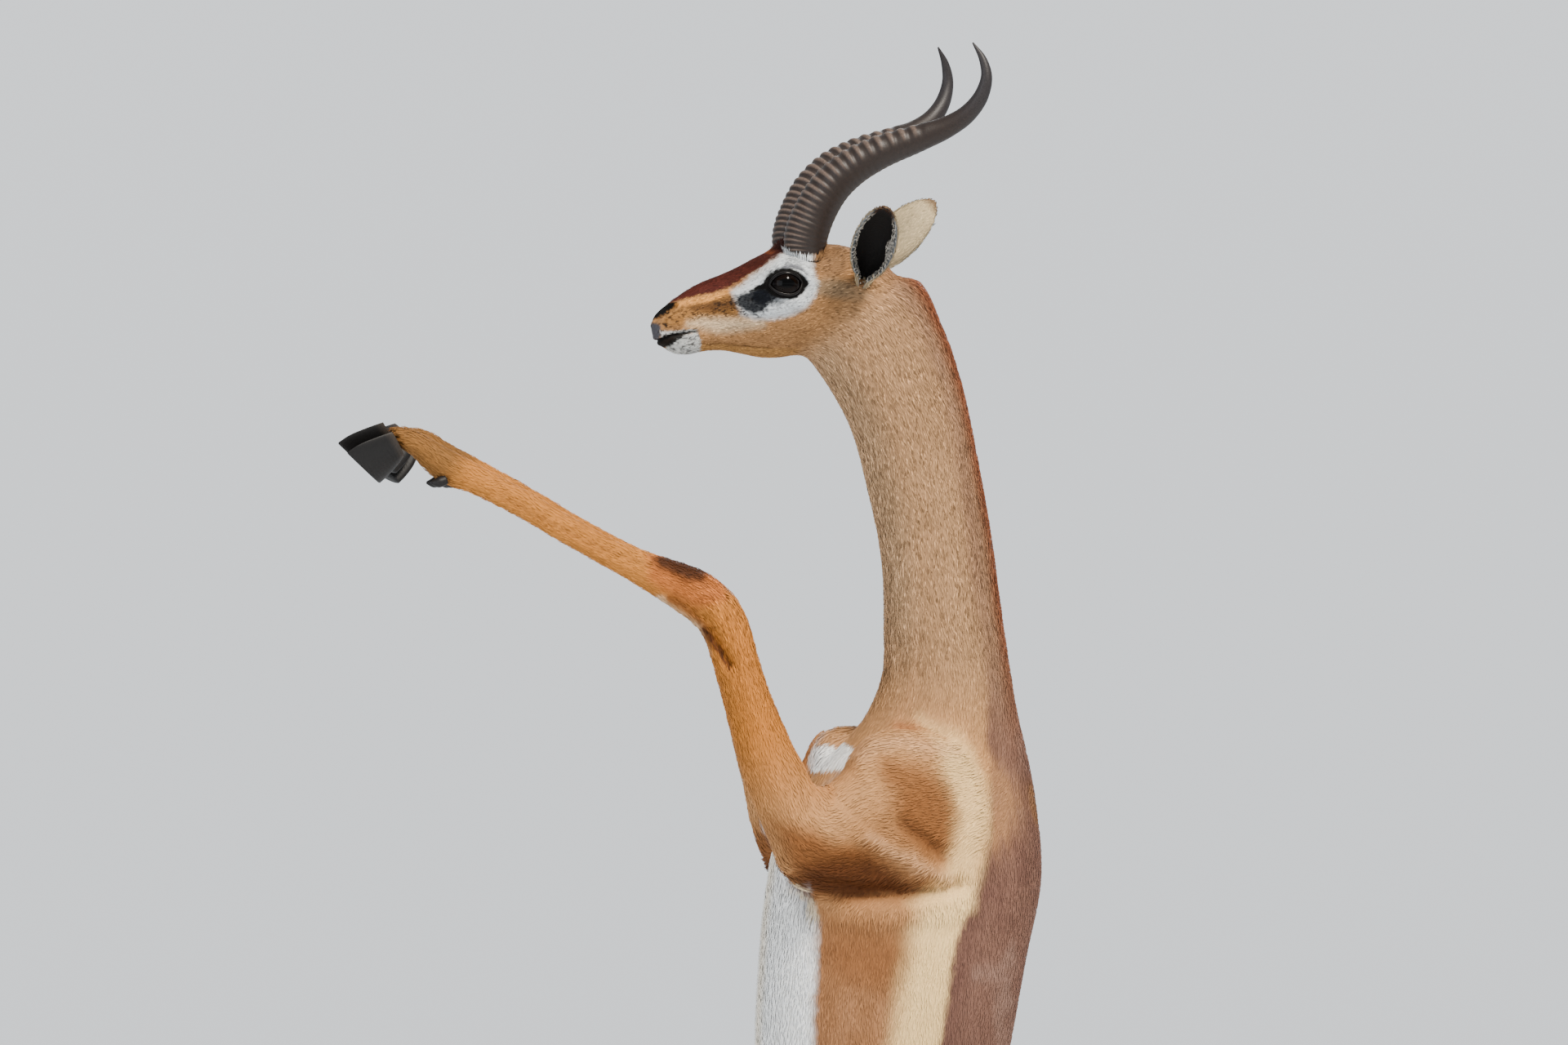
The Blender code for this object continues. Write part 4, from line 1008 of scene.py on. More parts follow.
def rgba(code: str) -> tuple[float, float, float, float]:
    """An sRGB hex colour as linear light with full alpha."""
    return (*linear(code).tolist(), 1.0)


class Hue(Enum):
    """The coat's colours, and the painted shade, shadow and highlight laid over it, as sRGB hex values."""

    TAN = "#BE8A59"
    NECK = "#A9825C"
    NAPE = "#743A20"
    SADDLE = "#79584A"
    SADDLE_DARK = "#61433A"
    SADDLE_LIGHT = "#A28272"
    BAND = "#FFD692"
    FLANK = "#976843"
    FLANK_PINK = "#A4744F"
    # Painted shade for hollows and grooves, partly the coat's own darker brown on the shoulder.
    SHADE = "#7A4822"
    # Painted shadow for the deepest folds and under the shoulder.
    DEEP_SHADE = "#452310"
    # Painted highlight for the shoulder's ridges.
    SOFT_LIGHT = "#D0A075"
    RED_HAIR = "#94502B"
    WHITE = "#F7F7F3"
    CREAM = "#EAD6B2"
    LEG = "#BA7430"
    LEG_DARK = "#94602F"
    SHIN = "#C27D38"
    KNEE_RED = "#B0612F"
    KNEE_BLACK = "#1D120E"
    PASTERN = "#80592F"
    CHEEK = "#9C7249"
    JAW = "#A2763F"
    MUZZLE = "#9C6D3A"
    MUZZLE_DARK = "#4E331C"
    STRIPE = "#4B211A"
    FOREHEAD = "#3A1A11"
    BUFF = "#D8944A"
    SPECTACLE = "#DDE2E4"
    BROW_GREY = "#7F8487"
    TEMPLE = "#7A5A3C"
    EAR_GREY = "#7C6F5A"
    EAR_BACK = "#D0BB93"
    BLACK = "#0A0807"
    SKIN_DARK = "#141213"
    GLAND_BLUE = "#0C0F15"
    NOSE = "#4A4B52"
    CHIN = "#C6C8C4"
    TAIL = "#52311D"

    @property
    def light(self) -> Array:
        """The colour in linear light."""
        return linear(self.value)


class Mark(NamedTuple):
    """A patch of colour with a soft edge, for the coat's markings and for painted shade and highlight: a
    filled outline, or a stroke where it has half widths.

    The edge's width and the half widths are in millimetres. With specks it is broken into dots
    where a fine noise passes that level.
    """

    hue: Hue
    path: Array
    soft: float
    strength: float = 1.0
    halves: float | tuple[float, ...] = 0.0
    specks: float | None = None


# The saddle's lower edge, the pale band's and the belly's: height in metres and share from belly to
# spine, in turn.
SADDLE_EDGE = (
    0.8, 0.55, 0.9, 0.6, 1, 0.61, 1.1, 0.62, 1.174, 0.61, 1.209, 0.61, 1.25, 0.61, 1.286, 0.615,
    1.316, 0.65, 1.352, 0.69, 1.393, 0.71, 1.432, 0.73, 1.47, 0.7, 1.564, 0.76, 1.626, 0.72, 1.72, 0.76,
    1.8, 0.8,
)
BAND_EDGE = (
    0.8, 0.42, 1, 0.43, 1.178, 0.41, 1.214, 0.42, 1.248, 0.43, 1.286, 0.44, 1.312, 0.47, 1.33, 0.54,
)
BELLY_EDGE = (
    0.8, 0.34, 0.9, 0.26, 1, 0.2, 1.1, 0.16, 1.208, 0.15, 1.26, 0.155, 1.296, 0.145, 1.322, 0.1,
    1.36, 0.04, 1.45, -0.1,
)
# The dark stripe's lower edge on the muzzle and forehead: u and v in metres, in turn.
STRIPE_EDGE = (
    0, 0.0105, 0.016, 0.0165, 0.0254, 0.0188, 0.0345, 0.02, 0.0467, 0.0202, 0.0654, 0.0192,
    0.0833, 0.0202, 0.0979, 0.0251, 0.1145, 0.0297, 0.1263, 0.0348, 0.1408, 0.0388, 0.16, 0.042,
)
# The shoulder's and flank's markings, in x and z, the same on both sides: the coat's own pale band and
# colours, with painted shade and shadow in the shoulder's hollows, under it and along its and the throat's
# folds, and painted highlight along its ridges.
FLANK_MARKS_AND_PAINTED_LIGHT = (
    Mark(Hue.BAND, line(20, 1486, 44, 1476, 64, 1460, 77, 1436, 80, 1395, 68, 1345, 55, 1305, 0, 1313,
         30, 1337, 40, 1363, 42, 1397, 34, 1433), 24, 0.72),
    # Painted shade over the shoulder's hollows and below it, partly the coat's own darker brown.
    Mark(Hue.SHADE, line(-30, 1452, 7, 1446, 30, 1430, 43, 1402, 42, 1373, 30, 1352, 8, 1356, -12, 1372,
         -20, 1395, -18, 1415, -35, 1432), 26, 0.7),
    Mark(Hue.SHADE, line(-138, 1392, -92, 1374, -50, 1364, -27, 1350, 4, 1320, -46, 1312, -93, 1318,
         -120, 1338), 24, 0.85),
    Mark(Hue.SHADE, line(-100, 1350, -60, 1385, -20, 1425, 25, 1430, 44, 1385, 36, 1345, -20, 1328,
         -90, 1334), 50, 0.42),
    # Painted shadow under the shoulder and in its pit.
    Mark(Hue.DEEP_SHADE, line(-116, 1348, -80, 1354, -30, 1350, 14, 1336, 14, 1322, -50, 1320,
         -96, 1326), 24, 0.78),
    Mark(Hue.DEEP_SHADE, SHOULDER_PIT, 22, 0.5, 4),
    # Painted highlight along the shoulder's crest and the bar across it.
    Mark(Hue.SOFT_LIGHT, SHOULDER_CREST, 20, 0.55, 5),
    Mark(Hue.SOFT_LIGHT, SHOULDER_BAR, 14, 0.5, 3.5),
    Mark(Hue.RED_HAIR, line(-4, 1481, 18, 1479, 38, 1468), 14, 0.6, 4),
    # Painted shadow along the fold under the shoulder.
    Mark(Hue.DEEP_SHADE, line(-112, 1335, -88, 1329, -44, 1325, 0, 1325), 16, 0.75, 3.5),
    Mark(Hue.DEEP_SHADE, UNDER_SHOULDER, 9, 0.7, 2),
    # Painted shade on the flank below that fold.
    Mark(Hue.SHADE, line(-88, 1304, -82, 1258, -56, 1238, -36, 1230, -12, 1245, -8, 1268, -34, 1300),
         36, 0.42),
    Mark(Hue.FLANK_PINK, line(-60, 1225, -35, 1220, -30, 1170, -30, 1100), 30, 0.55, 5),
    Mark(Hue.BROW_GREY, line(-101, 1328, -95, 1316, -92, 1300), 7, 0.6, 2.2),
    Mark(Hue.CREAM, line(-110, 1327, -92, 1314, -88, 1296), 4, 0.85, 1.6),
    # Painted shade in the throat's folds, in the nape's red-brown.
    Mark(Hue.NAPE, line(4, 1575, 4, 1530, -16, 1492), 8, 0.5, 1.5),
    Mark(Hue.NAPE, line(21, 1570, 20, 1525, 3, 1490), 9, 0.4, 1.2),
)
KNEE_MARKS = (
    Mark(Hue.CREAM, line(-243, 1601, -222, 1586, -207, 1574, -199, 1550), 8, 0.5, 3),
    Mark(Hue.KNEE_RED, line(-254, 1646, -220, 1660, -176, 1628, -182, 1600, -210, 1591, -235, 1604,
         -256, 1619), 12, 0.75),
    Mark(Hue.KNEE_BLACK, line(-250, 1637, -236, 1652, -212, 1650, -193, 1632, -202, 1615, -220, 1616,
         -232, 1623, -245, 1629), 13, 0.88),
    # Painted shade in the knee's groove and slit, and along the cannon's groove.
    Mark(Hue.SHADE, KNEE_GROOVE, 6, 0.85, 2.6),
    Mark(Hue.DEEP_SHADE, KNEE_SLIT, 5, 0.95, 2.4),
    Mark(Hue.LEG_DARK, CANNON_LINE, 5, 0.6, 1.4),
)
# The face's markings in u and v, in the order in which they cover one another: those under the dark stripe,
# those over it with painted shade under the brow and in its crease, and the nose and mouth with painted shade
# in the jaw's crease, laid after the eye's dark rim.
UNDER_MARKS = (
    Mark(Hue.JAW, line(41, -25, 65, -31, 92, -41, 112, -48, 135, -55, 135, -72, 40, -60), 6, 0.65),
    Mark(Hue.MUZZLE, line(12, 8, 28, 16, 85, 16, 94, 0, 84, -9, 45, -3, 20, -3, 11, 3), 10, 0.9),
    Mark(Hue.CREAM, line(36, -4, 47, -6, 62, -12, 83, -17, 101, -21), 12, 0.48, (3, 5, 7, 6, 3)),
    Mark(Hue.MUZZLE_DARK, line(43, 9.5, 61, 6.2, 79, 4.2), 10, 0.85, (3, 6.2, 6.2)),
    Mark(Hue.SKIN_DARK, line(20, 4, 43, 4, 79, 1), 10, 0.75, 7.5, 0.26),
    Mark(Hue.BUFF, line(30, 16.2, 34.5, 16.5, 46.7, 16.2, 59.1, 15.1, 82, 16.4), 3.5, 0.85,
         (1, 2.4, 3.2, 3.4, 1.8)),
    Mark(Hue.TEMPLE, line(164, 33, 191.4, 36, 202, 22.1, 192, 4, 174.1, 5, 162, 13.9), 8, 0.8),
    Mark(Hue.EAR_GREY, line(160, 7, 178.9, 2.7, 196.8, -6, 214.3, -22.9, 201.5, -25.5, 177.1, -16.5,
         158, -8.6), 10, 0.6),
    Mark(Hue.SPECTACLE, line(82.5, 15, 95.8, 20.2, 113.8, 28.4, 124.7, 33, 138.8, 39, 150, 42.5,
         161.1, 34.5, 164, 25.1, 161.2, 14.3, 160.5, -0.1, 155.1, -8.5, 143.4, -16.5, 125.2, -20,
         110, -19, 96, -15, 86, -8), 8.5, 0.97),
)
OVER_MARKS = (
    # Grey mottle above the eye: painted shade under the brow.
    Mark(Hue.BROW_GREY, line(104, 21.2, 122, 28.5, 142, 34.5, 156, 33, 158, 20, 150, 23, 132, 25.5), 6,
         0.7, 0, -0.1),
    Mark(Hue.BROW_GREY, line(112, -8, 128, -12, 146, -10, 157, 0), 7, 0.55, 3.5, 0.05),
    Mark(Hue.RED_HAIR, line(131, 42.5, 140, 50.5, 145, 57), 5, 0.6, 2),
    Mark(Hue.SKIN_DARK, line(80, 12, 114, 10, 119, 1, 112, -11, 100, -15.5, 86, -10.5, 79, 0), 6, 0.8,
         0, 0.16),
    Mark(Hue.GLAND_BLUE, line(84.2, 9.8, 92.9, 11.8, 101.9, 11.8, 110.4, 11.8, 112.8, 4, 110.4, -5,
         104, -10, 96.2, -9.8, 88.3, -4.8, 84, 3.3), 4.5, 0.96),
    Mark(Hue.GLAND_BLUE, line(108, 0, 118, -4, 128, -7), 6, 0.7, (5, 2.8, 0.5)),
    Mark(Hue.GLAND_BLUE, line(106, 4.5, 116, 3, 124, 1), 4, 0.95, (7, 5, 3)),
    Mark(Hue.BLACK, GLAND_SLIT, 1.6, 0.9, 1),
    Mark(Hue.BLACK, line(98, 11.8, 104, 12.5, 110.7, 13, 116, 13), 1.4, 1, (0.6, 2, 3.2, 3.6)),
    # A dark line along the brow's crease: painted shade.
    Mark(Hue.NOSE, BROW_CREASE, 3, 0.85, (0.6, 1.8, 2.4, 1.8, 0.6)),
)
MOUTH_MARKS = (
    Mark(Hue.CHIN, line(8, -3.5, 16.9, -5.8, 30.4, -8.2, 42, -11, 42.3, -13.5, 23.2, -11.5, 9.3, -12.5,
         6, -14), 2.2, 0.92),
    Mark(Hue.CHIN, line(11, -19.5, 20, -12.5, 41.2, -13.8, 43.2, -23, 42.8, -36, 26, -36, 11, -30), 2.2,
         0.95),
    Mark(Hue.NOSE, line(-6, -6, -4, 4, 0.8, 5.2, 6.3, 4.7, 8.8, 1.7, 7.6, -6.1, 5, -10.5, -0.5, -12.5,
         -6, -12), 2.2, 0.97),
    Mark(Hue.SKIN_DARK, line(7, 5, 15, 3, 19, -6, 12, -13, 6, -10), 4, 0.85, 0, 0.12),
    Mark(Hue.SKIN_DARK, line(10, -1, 16.1, -7.3, 38.8, -10.6), 4, 0.8, 3, 0.28),
    Mark(Hue.SKIN_DARK, line(10, -21.5, 24.5, -15, 42, -16, 42, -33, 26, -34), 4, 0.8, 0, 0.24),
    Mark(Hue.BLACK, line(-4, -11.9, 7.1, -10.4, 15.7, -9.6, 32.2, -10.8, 33.4, -13.2, 22.8, -15.2,
         15.9, -18.7, 9.8, -20.3, 0, -20), 1.8, 0.98),
    Mark(Hue.BLACK, MOUTH_LINE, 1.4, 1, (1.6, 2.2, 2, 1.6, 1.2, 1, 0.6)),
    # A dark line along the jaw's crease: painted shade.
    Mark(Hue.MUZZLE_DARK, JAW_CREASE, 2.2, 0.7, (0.5, 0.9, 0.8, 0.3)),
    Mark(Hue.BLACK, line(2.4, 7.8, 6.4, 13.4, 14.7, 18, 23.7, 20, 32.5, 18.2, 29.1, 14.4, 19.8, 10.8,
         10.8, 8.4), 1.4, 1),
)
# The middle and the reach of the white patch between the shoulders, in metres.
CHEST_WHITE, CHEST_WHITE_REACH = (-0.052, 0.015, 1.447), (0.022, 0.062, 0.019)


def layered(colours: Array, *layers: tuple) -> Array:
    """Paints colours one over another.

    Args:
        colours: the ground, as rows of linear colour or one colour.
        layers: for each its mask and hue, and its strength where that isn't 1, lowest first.

    Returns:
        Rows of linear colour.
    """
    for mask, hue, *strength in layers:
        share = np.clip(mask * (strength[0] if strength else 1), 0, 1)[:, None]
        colours = colours * (1 - share) + hue.light * share
    return colours


def lay_marks(
    colours: Array, flat: Array, marks: tuple[Mark, ...], speck: Array, where: float | Array = 1.0
) -> Array:
    """Paints markings one over another.

    Args:
        colours: the ground, as rows of linear colour or one colour.
        flat: rows of the two coordinates that the markings are drawn in.
        marks: the markings, lowest first.
        speck: a fine noise that breaks some of them into dots.
        where: scales every marking.

    Returns:
        The new rows of colour.
    """
    for mark in marks:
        if mark.halves:
            mask = stroke_mask(flat, mark.path, mm(mark.halves), mm(mark.soft))
        else:
            mask = patch_mask(flat, mark.path, mm(mark.soft))
        if mark.specks is not None:
            mask = mask * ease(speck, mark.specks - 0.12, mark.specks + 0.12)
        colours = layered(colours, (mask * where, mark.hue, mark.strength))
    return colours


@dataclass
class CoatPattern:
    """The coat's markings, as one colour for any point on the body.

    Each form's painter takes rows of coordinates and their places on that form, and returns rows
    of linear colour. Its masks run from 0 to 1 between two heights, lengths or shares.
    """

    forms: dict[str, BodyForm]
    to_fetlock: tuple[float, float] = (0.055, 0.085)
    patchiness: float = 0.07
    blend_reach: float = 0.005

    def trunk(self, points: Array, place: Located) -> Array:
        """Tan neck and flank, dark saddle with a pale band below it, and a white belly.

        Args:
            points: rows of coordinates.
            place: where they lie on the form.

        Returns:
            Rows of linear colour.
        """
        z, away = points[:, 2], np.abs(points[:, 1])
        rough = 0.5 * noise(points, 0.011, 3) + 0.5 * noise(points, 0.0045, 4)
        t = (place.aft + 1) / 2 + rough * 0.012
        mottle = noise(points * [1, 1, 0.6], 0.034, 12) + 0.6 * noise(points, 0.015, 13)
        edge, band, belly = (table(z, rows) for rows in (SADDLE_EDGE, BAND_EDGE, BELLY_EDGE))
        high, low = ease(z, 1.42, 1.60), 1 - ease(z, 1.26, 1.34)
        width = 0.016 + 0.10 * high
        saddle = ease(t, edge - width, edge + width)
        white = 1 - ease(t, belly - 0.020, belly + 0.020)
        return layered(
            Hue.NECK.light,
            (1 - ease(z, 1.42, 1.56), Hue.TAN),
            (low, Hue.FLANK),
            (low * ease(mottle, 0, 0.9), Hue.FLANK_PINK, 0.6),
            (ease(t, band - 0.05, band + 0.07) * (1 - ease(z, 1.30, 1.35)), Hue.BAND, 0.92),
            (saddle, Hue.SADDLE),
            (saddle * ease(mottle, 0.1, 1.1), Hue.SADDLE_LIGHT, 0.40),
            (saddle * ease(-mottle, 0.2, 1.1), Hue.SADDLE_DARK, 0.50),
            (gaussian(t - edge, 0.035, 0.035) * (1 - high), Hue.SADDLE_DARK, 0.45),
            (saddle * high, Hue.NECK, 0.65),
            (ease(t, 0.90, 0.985) * (1 - high), Hue.SADDLE_DARK, 0.55),
            (ease(t, 0.52, 0.80) * high, Hue.SADDLE_DARK, 0.22),
            (ease(t, 0.80, 0.95) * high, Hue.NAPE, 0.85),
            (white, Hue.WHITE),
            (white * (1 - ease(away, 0, 0.020)), Hue.CREAM, 0.55),
            ((1 - ease(t, 0.02, 0.30)) * ease(z, 1.50, 1.60), Hue.CREAM, 0.12),
            (ease(t, 0.80, 0.90) * (1 - ease(z, 0.86, 0.97)) * (1 - ease(away, 0.04, 0.07)), Hue.WHITE),
        )

    def foreleg(self, points: Array, place: Located) -> Array:
        """Orange-tan outside and white inside, with a dark brush on the knee, painted shade in its grooves,
        and a brown pastern.

        Args:
            points: rows of coordinates.
            place: where they lie on the form.

        Returns:
            Rows of linear colour.
        """
        along = place.along
        rough = noise(points, 0.008, 5)
        down = ease(along, 0.20, 0.33)
        limb = ease(along, 0.12, 0.20) * (1 - ease(along, 0.40, 0.46))
        colours = layered(
            Hue.TAN.light,
            (down, Hue.LEG),
            (down * ease(rough * 0.2 - place.aft, 0.2, 0.9), Hue.LEG_DARK, 0.35),
            (ease(along, 0.42, 0.50), Hue.SHIN),
            (ease(rough * 0.12 - place.out, 0.45, 0.75) * limb, Hue.WHITE, 0.92),
        )
        flat = level_leg(points) + 0.0008 * rough[:, None]
        return self.pastern(lay_marks(colours, flat, KNEE_MARKS, rough), place)

    def pastern(self, colours: Array, place: Located) -> Array:
        """Browner hair from the fetlock down, by the distance left to the leg's end."""
        left = place.along / np.maximum(place.share, 1e-6) - place.along
        return layered(colours, (1 - ease(left, *self.to_fetlock), Hue.PASTERN, 0.9))

    def hindleg(self, points: Array, place: Located) -> Array:
        """Tan outside and white inside down to the hock, and a brown pastern.

        Args:
            points: rows of coordinates.
            place: where they lie on the form.

        Returns:
            Rows of linear colour.
        """
        along = place.along
        inner = ease(noise(points, 0.009, 6) * 0.12 - place.out, 0.20, 0.55)
        colours = layered(
            Hue.FLANK.light,
            (ease(along, 0.10, 0.34), Hue.TAN),
            (ease(along, 0.50, 0.70), Hue.SHIN, 0.6),
            (inner * (1 - ease(along, 0.66, 0.80)), Hue.WHITE, 0.92),
            (ease(-place.aft, 0.35, 0.9) * ease(along, 0.30, 0.5), Hue.LEG_DARK, 0.30),
        )
        return self.pastern(colours, place)

    def dock(self, points: Array, place: Located) -> Array:
        """Brown tail, black towards its end."""
        return layered(Hue.TAIL.light, (ease(place.share, 0.45, 0.70), Hue.BLACK))

    def head(self, points: Array, place: Located) -> Array:
        """The face's markings, painted one over another in the head's own frame.

        Args:
            points: rows of coordinates.
            place: where they lie on the form.

        Returns:
            Rows of linear colour.
        """
        rough = noise(points, 0.0030, 7) * 0.0009 + noise(points, 0.0013, 8) * 0.0007
        speck = noise(points, 0.0015, 9)
        uv = head_uv(points) + columns(rough, -rough)
        u, v = uv.T
        edge = table(u, STRIPE_EDGE)
        stripe = ease(v, edge - 0.0018, edge + 0.0018)
        colours = layered(
            lay_marks(Hue.CHEEK.light, uv, UNDER_MARKS, speck),
            (stripe, Hue.STRIPE),
            (stripe * ease(u, 0.070, 0.145), Hue.FOREHEAD, 0.85),
            (ease(u, 0.166, 0.182) * ease(v, 0.010, 0.022), Hue.TEMPLE, 0.9),
        )
        colours = lay_marks(colours, uv, OVER_MARKS, speck)
        colours = layered(colours, (1 - ease(almond(uv), 1.30, 1.50), Hue.BLACK))
        return lay_marks(colours, uv, MOUTH_MARKS, speck)

    def owned(self, points: Array) -> tuple[dict[str, Located], Array]:
        """Each point's place on every form, and how much each form owns it.

        A form's share is e to the minus of the distance off it over 5 mm, scaled to a sum of one.

        Args:
            points: rows of coordinates.

        Returns:
            The places by the form's name, and a row of shares a form.
        """
        places = {name: form.locate(points) for name, form in self.forms.items()}
        weight = np.exp(-np.maximum([place.gap for place in places.values()], 0) / self.blend_reach)
        return places, weight / np.maximum(weight.sum(axis=0), 1e-12)

    def colours(self, points: Array) -> Array:
        """The coat's colour at each point, mixed from the forms near it, with the flank's marks and their
        painted shade and highlight.

        Args:
            points: rows of coordinates.

        Returns:
            Rows of linear colour.
        """
        places, shares = self.owned(points)
        total = np.zeros((len(points), 3))
        for (name, place), share in zip(places.items(), shares):
            paint = getattr(self, name.split("_")[0])
            total += share[:, None] * paint(points, place)
        drift = [noise(points, 0.020, seed) + 0.5 * noise(points, 0.008, seed + 2) for seed in (14, 15)]
        flat = points[:, [0, 2]] + 0.0035 * columns(*drift)
        side = ease(np.abs(points[:, 1]), 0.025, 0.050)
        total = lay_marks(total, flat, FLANK_MARKS_AND_PAINTED_LIGHT, drift[0], side)
        away = np.linalg.norm((points - CHEST_WHITE) / CHEST_WHITE_REACH, axis=1)
        total = layered(total, (1 - ease(away + 0.06 * drift[1], 0.86, 1.02), Hue.WHITE))
        patches = noise(points, 0.03, 11) + 0.6 * noise(points * [1, 1, 1.6], 0.012, 16)
        return np.clip(total * (1 + self.patchiness * patches)[:, None], 0, 1)

    def lie(self, points: Array, normals: Array) -> tuple[Array, Array]:
        """The coat's direction on the skin, and coordinates that run across and along it.

        Args:
            points: rows of coordinates.
            normals: the skin's normals there.

        Returns:
            Unit directions in the skin's plane, and rows of metres across, through and along.
        """
        places, shares = self.owned(points)
        flow = np.zeros((len(points), 3))
        run = np.zeros((len(points), 3))
        owner = shares.argmax(axis=0)
        for index, ((name, place), share) in enumerate(zip(places.items(), shares)):
            turn = -1 if name == "trunk" else 1
            flow += share[:, None] * place.direction * turn
            rows = columns(place.aft * place.half_depth, place.out * place.half_width, place.along * turn)
            run = np.where((owner == index)[:, None], rows + 0.37 * index, run)
        flow -= dots(flow, normals)[:, None] * normals
        return unit(flow), run


def add(tree: Tree, kind: str, settings: dict | None = None, **inputs: object) -> Node:
    """Adds a node with its settings and links.

    Args:
        tree: the material's or world's node tree.
        kind: the node's type name after ShaderNode.
        settings: its properties.
        inputs: for each input, with _ for a space or in_N for its number, a value or an output.

    Returns:
        The new node.
    """
    made = tree.nodes.new(f"ShaderNode{kind}")
    for name, value in (settings or {}).items():
        setattr(made, name, value)
    for name, value in inputs.items():
        socket = made.inputs[int(name[3:]) if name.startswith("in_") else name.replace("_", " ")]
        if isinstance(value, bpy.types.NodeSocket):
            tree.links.new(value, socket)
        else:
            socket.default_value = value
    return made


@dataclass(frozen=True)
class Finish:
    """A material: its name, and the numbers that are the same all over it."""

    name: str
    roughness: float
    specular: float
    ior: float = 1.45

    def start(self) -> tuple[bpy.types.Material, Tree, Node]:
        """Starts the material and sets its shader's plain numbers.

        Returns:
            The material, its node tree and its shader.
        """
        material = bpy.data.materials.new(self.name)
        material.use_nodes = True
        shader = material.node_tree.nodes["Principled BSDF"]
        shader.inputs["Roughness"].default_value = self.roughness
        shader.inputs["IOR"].default_value = self.ior
        shader.inputs["Specular IOR Level"].default_value = self.specular
        return material, material.node_tree, shader


@dataclass(frozen=True)
class GrainedFinish(Finish):
    """A surface coloured by its own attribute, with a fine grain in colour and relief.

    The grain breaks the even colour and the highlight, as horn, hair or nail does close to. It
    is that wide, and as long along Z or the coat's lie as its run.
    """

    attribute: str = "coat"
    grain: float = 0.002
    run: float | None = None
    depth: float = 0.0
    least: float = 0.85
    most: float = 1.12
    follows_lie: bool = False
    scale: float = 1.0
    crispness: float = 0.5
    spread: tuple[float, float] = (0.3, 0.7)
    bump: float = 0.8

    def make(self) -> bpy.types.Material:
        """Builds the material.

        Returns:
            The attribute's colour times a noise of the grain's size, and the noise as relief.
        """
        material, tree, shader = self.start()
        paint = add(tree, "Attribute", {"attribute_name": self.attribute}).outputs["Color"]
        if self.follows_lie:
            place = add(tree, "Attribute", {"attribute_name": "lie"}).outputs["Vector"]
        else:
            place = add(tree, "TexCoord").outputs["Object"]
        scale = (1 / self.grain, 1 / self.grain, 1 / (self.run or self.grain))
        placed = add(tree, "Mapping", Vector=place, Scale=scale).outputs["Vector"]
        grain = add(
            tree, "TexNoise", Vector=placed, Scale=self.scale, Detail=3.0, Roughness=self.crispness
        ).outputs[0]
        low, high = self.spread
        toned = add(tree, "MapRange", in_0=grain, in_1=low, in_2=high, in_3=self.least, in_4=self.most)
        tone = toned.outputs[0]
        shade = add(tree, "CombineColor", in_0=tone, in_1=tone, in_2=tone).outputs[0]
        multiply = {"data_type": "RGBA", "blend_type": "MULTIPLY"}
        mixed = add(tree, "Mix", multiply, in_0=1.0, in_6=paint, in_7=shade)
        tree.links.new(mixed.outputs[2], shader.inputs["Base Color"])
        if self.depth:
            bump = add(tree, "Bump", Strength=self.bump, Distance=self.depth, Height=grain)
            tree.links.new(bump.outputs[0], shader.inputs["Normal"])
        return material


# Hair-covered skin, streaked along the coat's lie at the width of a few hairs, which gives the
# eye short flat hair between the modelled tufts.
SKIN = GrainedFinish(
    "short_flat_hair", 0.72, 0.12, grain=0.0011, run=0.009, depth=0.0007, least=0.76, most=1.10,
    follows_lie=True, scale=0.55, crispness=0.6, spread=(0.28, 0.72), bump=0.7,
)
# Tufts of dry hair: hardly any gloss.
HAIR = GrainedFinish("hair_tufts", 0.62, 0.12, grain=0.004, least=0.92, most=1.06)
# A wet eyeball: one small sharp highlight on near black.
EYEBALL = GrainedFinish(
    "wet_eye", 0.04, 0.14, ior=1.38, attribute="eye", grain=0.0011, least=0.80, most=1.25
)
# Bare black skin, kept moist: a soft highlight along the lid.
WET_RIM = GrainedFinish("wet_black_lid", 0.28, 0.25, grain=0.0008, least=0.7, most=1.35)
# Thin skin under sparse hair: dull, with a faint roughness that breaks its highlight.
EAR_SKIN = GrainedFinish("thin_ear_skin", 0.7, 0.2, grain=0.0015, depth=0.0004)
# Keratin grown in rings and worn: dull. Its colour is painted lighter on the crests, as painted highlight,
# and darker in the grooves, as painted shade.
HORN = GrainedFinish(
    "ringed_horn_keratin", 0.48, 0.35, ior=1.54, attribute="horn", grain=0.0016, depth=0.00016,
    least=0.72, most=1.22,
)
# Keratin grown downwards: streaks nine times as long as they are wide.
HOOF = GrainedFinish(
    "hoof_keratin", 0.52, 0.25, ior=1.54, attribute="hoof", grain=0.0012, run=0.0108, depth=0.0002,
    least=0.75, most=1.2,
)


@cache
def material_of(finish: GrainedFinish) -> bpy.types.Material:
    """The finish's material, made when it is first asked for."""
    return finish.make()


def dress(obj: Object, finish: GrainedFinish, slot: str, *nodes: str) -> None:
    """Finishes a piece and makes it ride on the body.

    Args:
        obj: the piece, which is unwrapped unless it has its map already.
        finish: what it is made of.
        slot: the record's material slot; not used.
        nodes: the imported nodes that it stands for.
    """
    if not obj.data.uv_layers:
        unwrap(obj)
    obj.data.materials.append(material_of(finish))
    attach(obj, BODY)
    if nodes:
        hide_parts(*nodes)
    LOG.info("%s: %d faces", obj.name, len(obj.data.polygons))


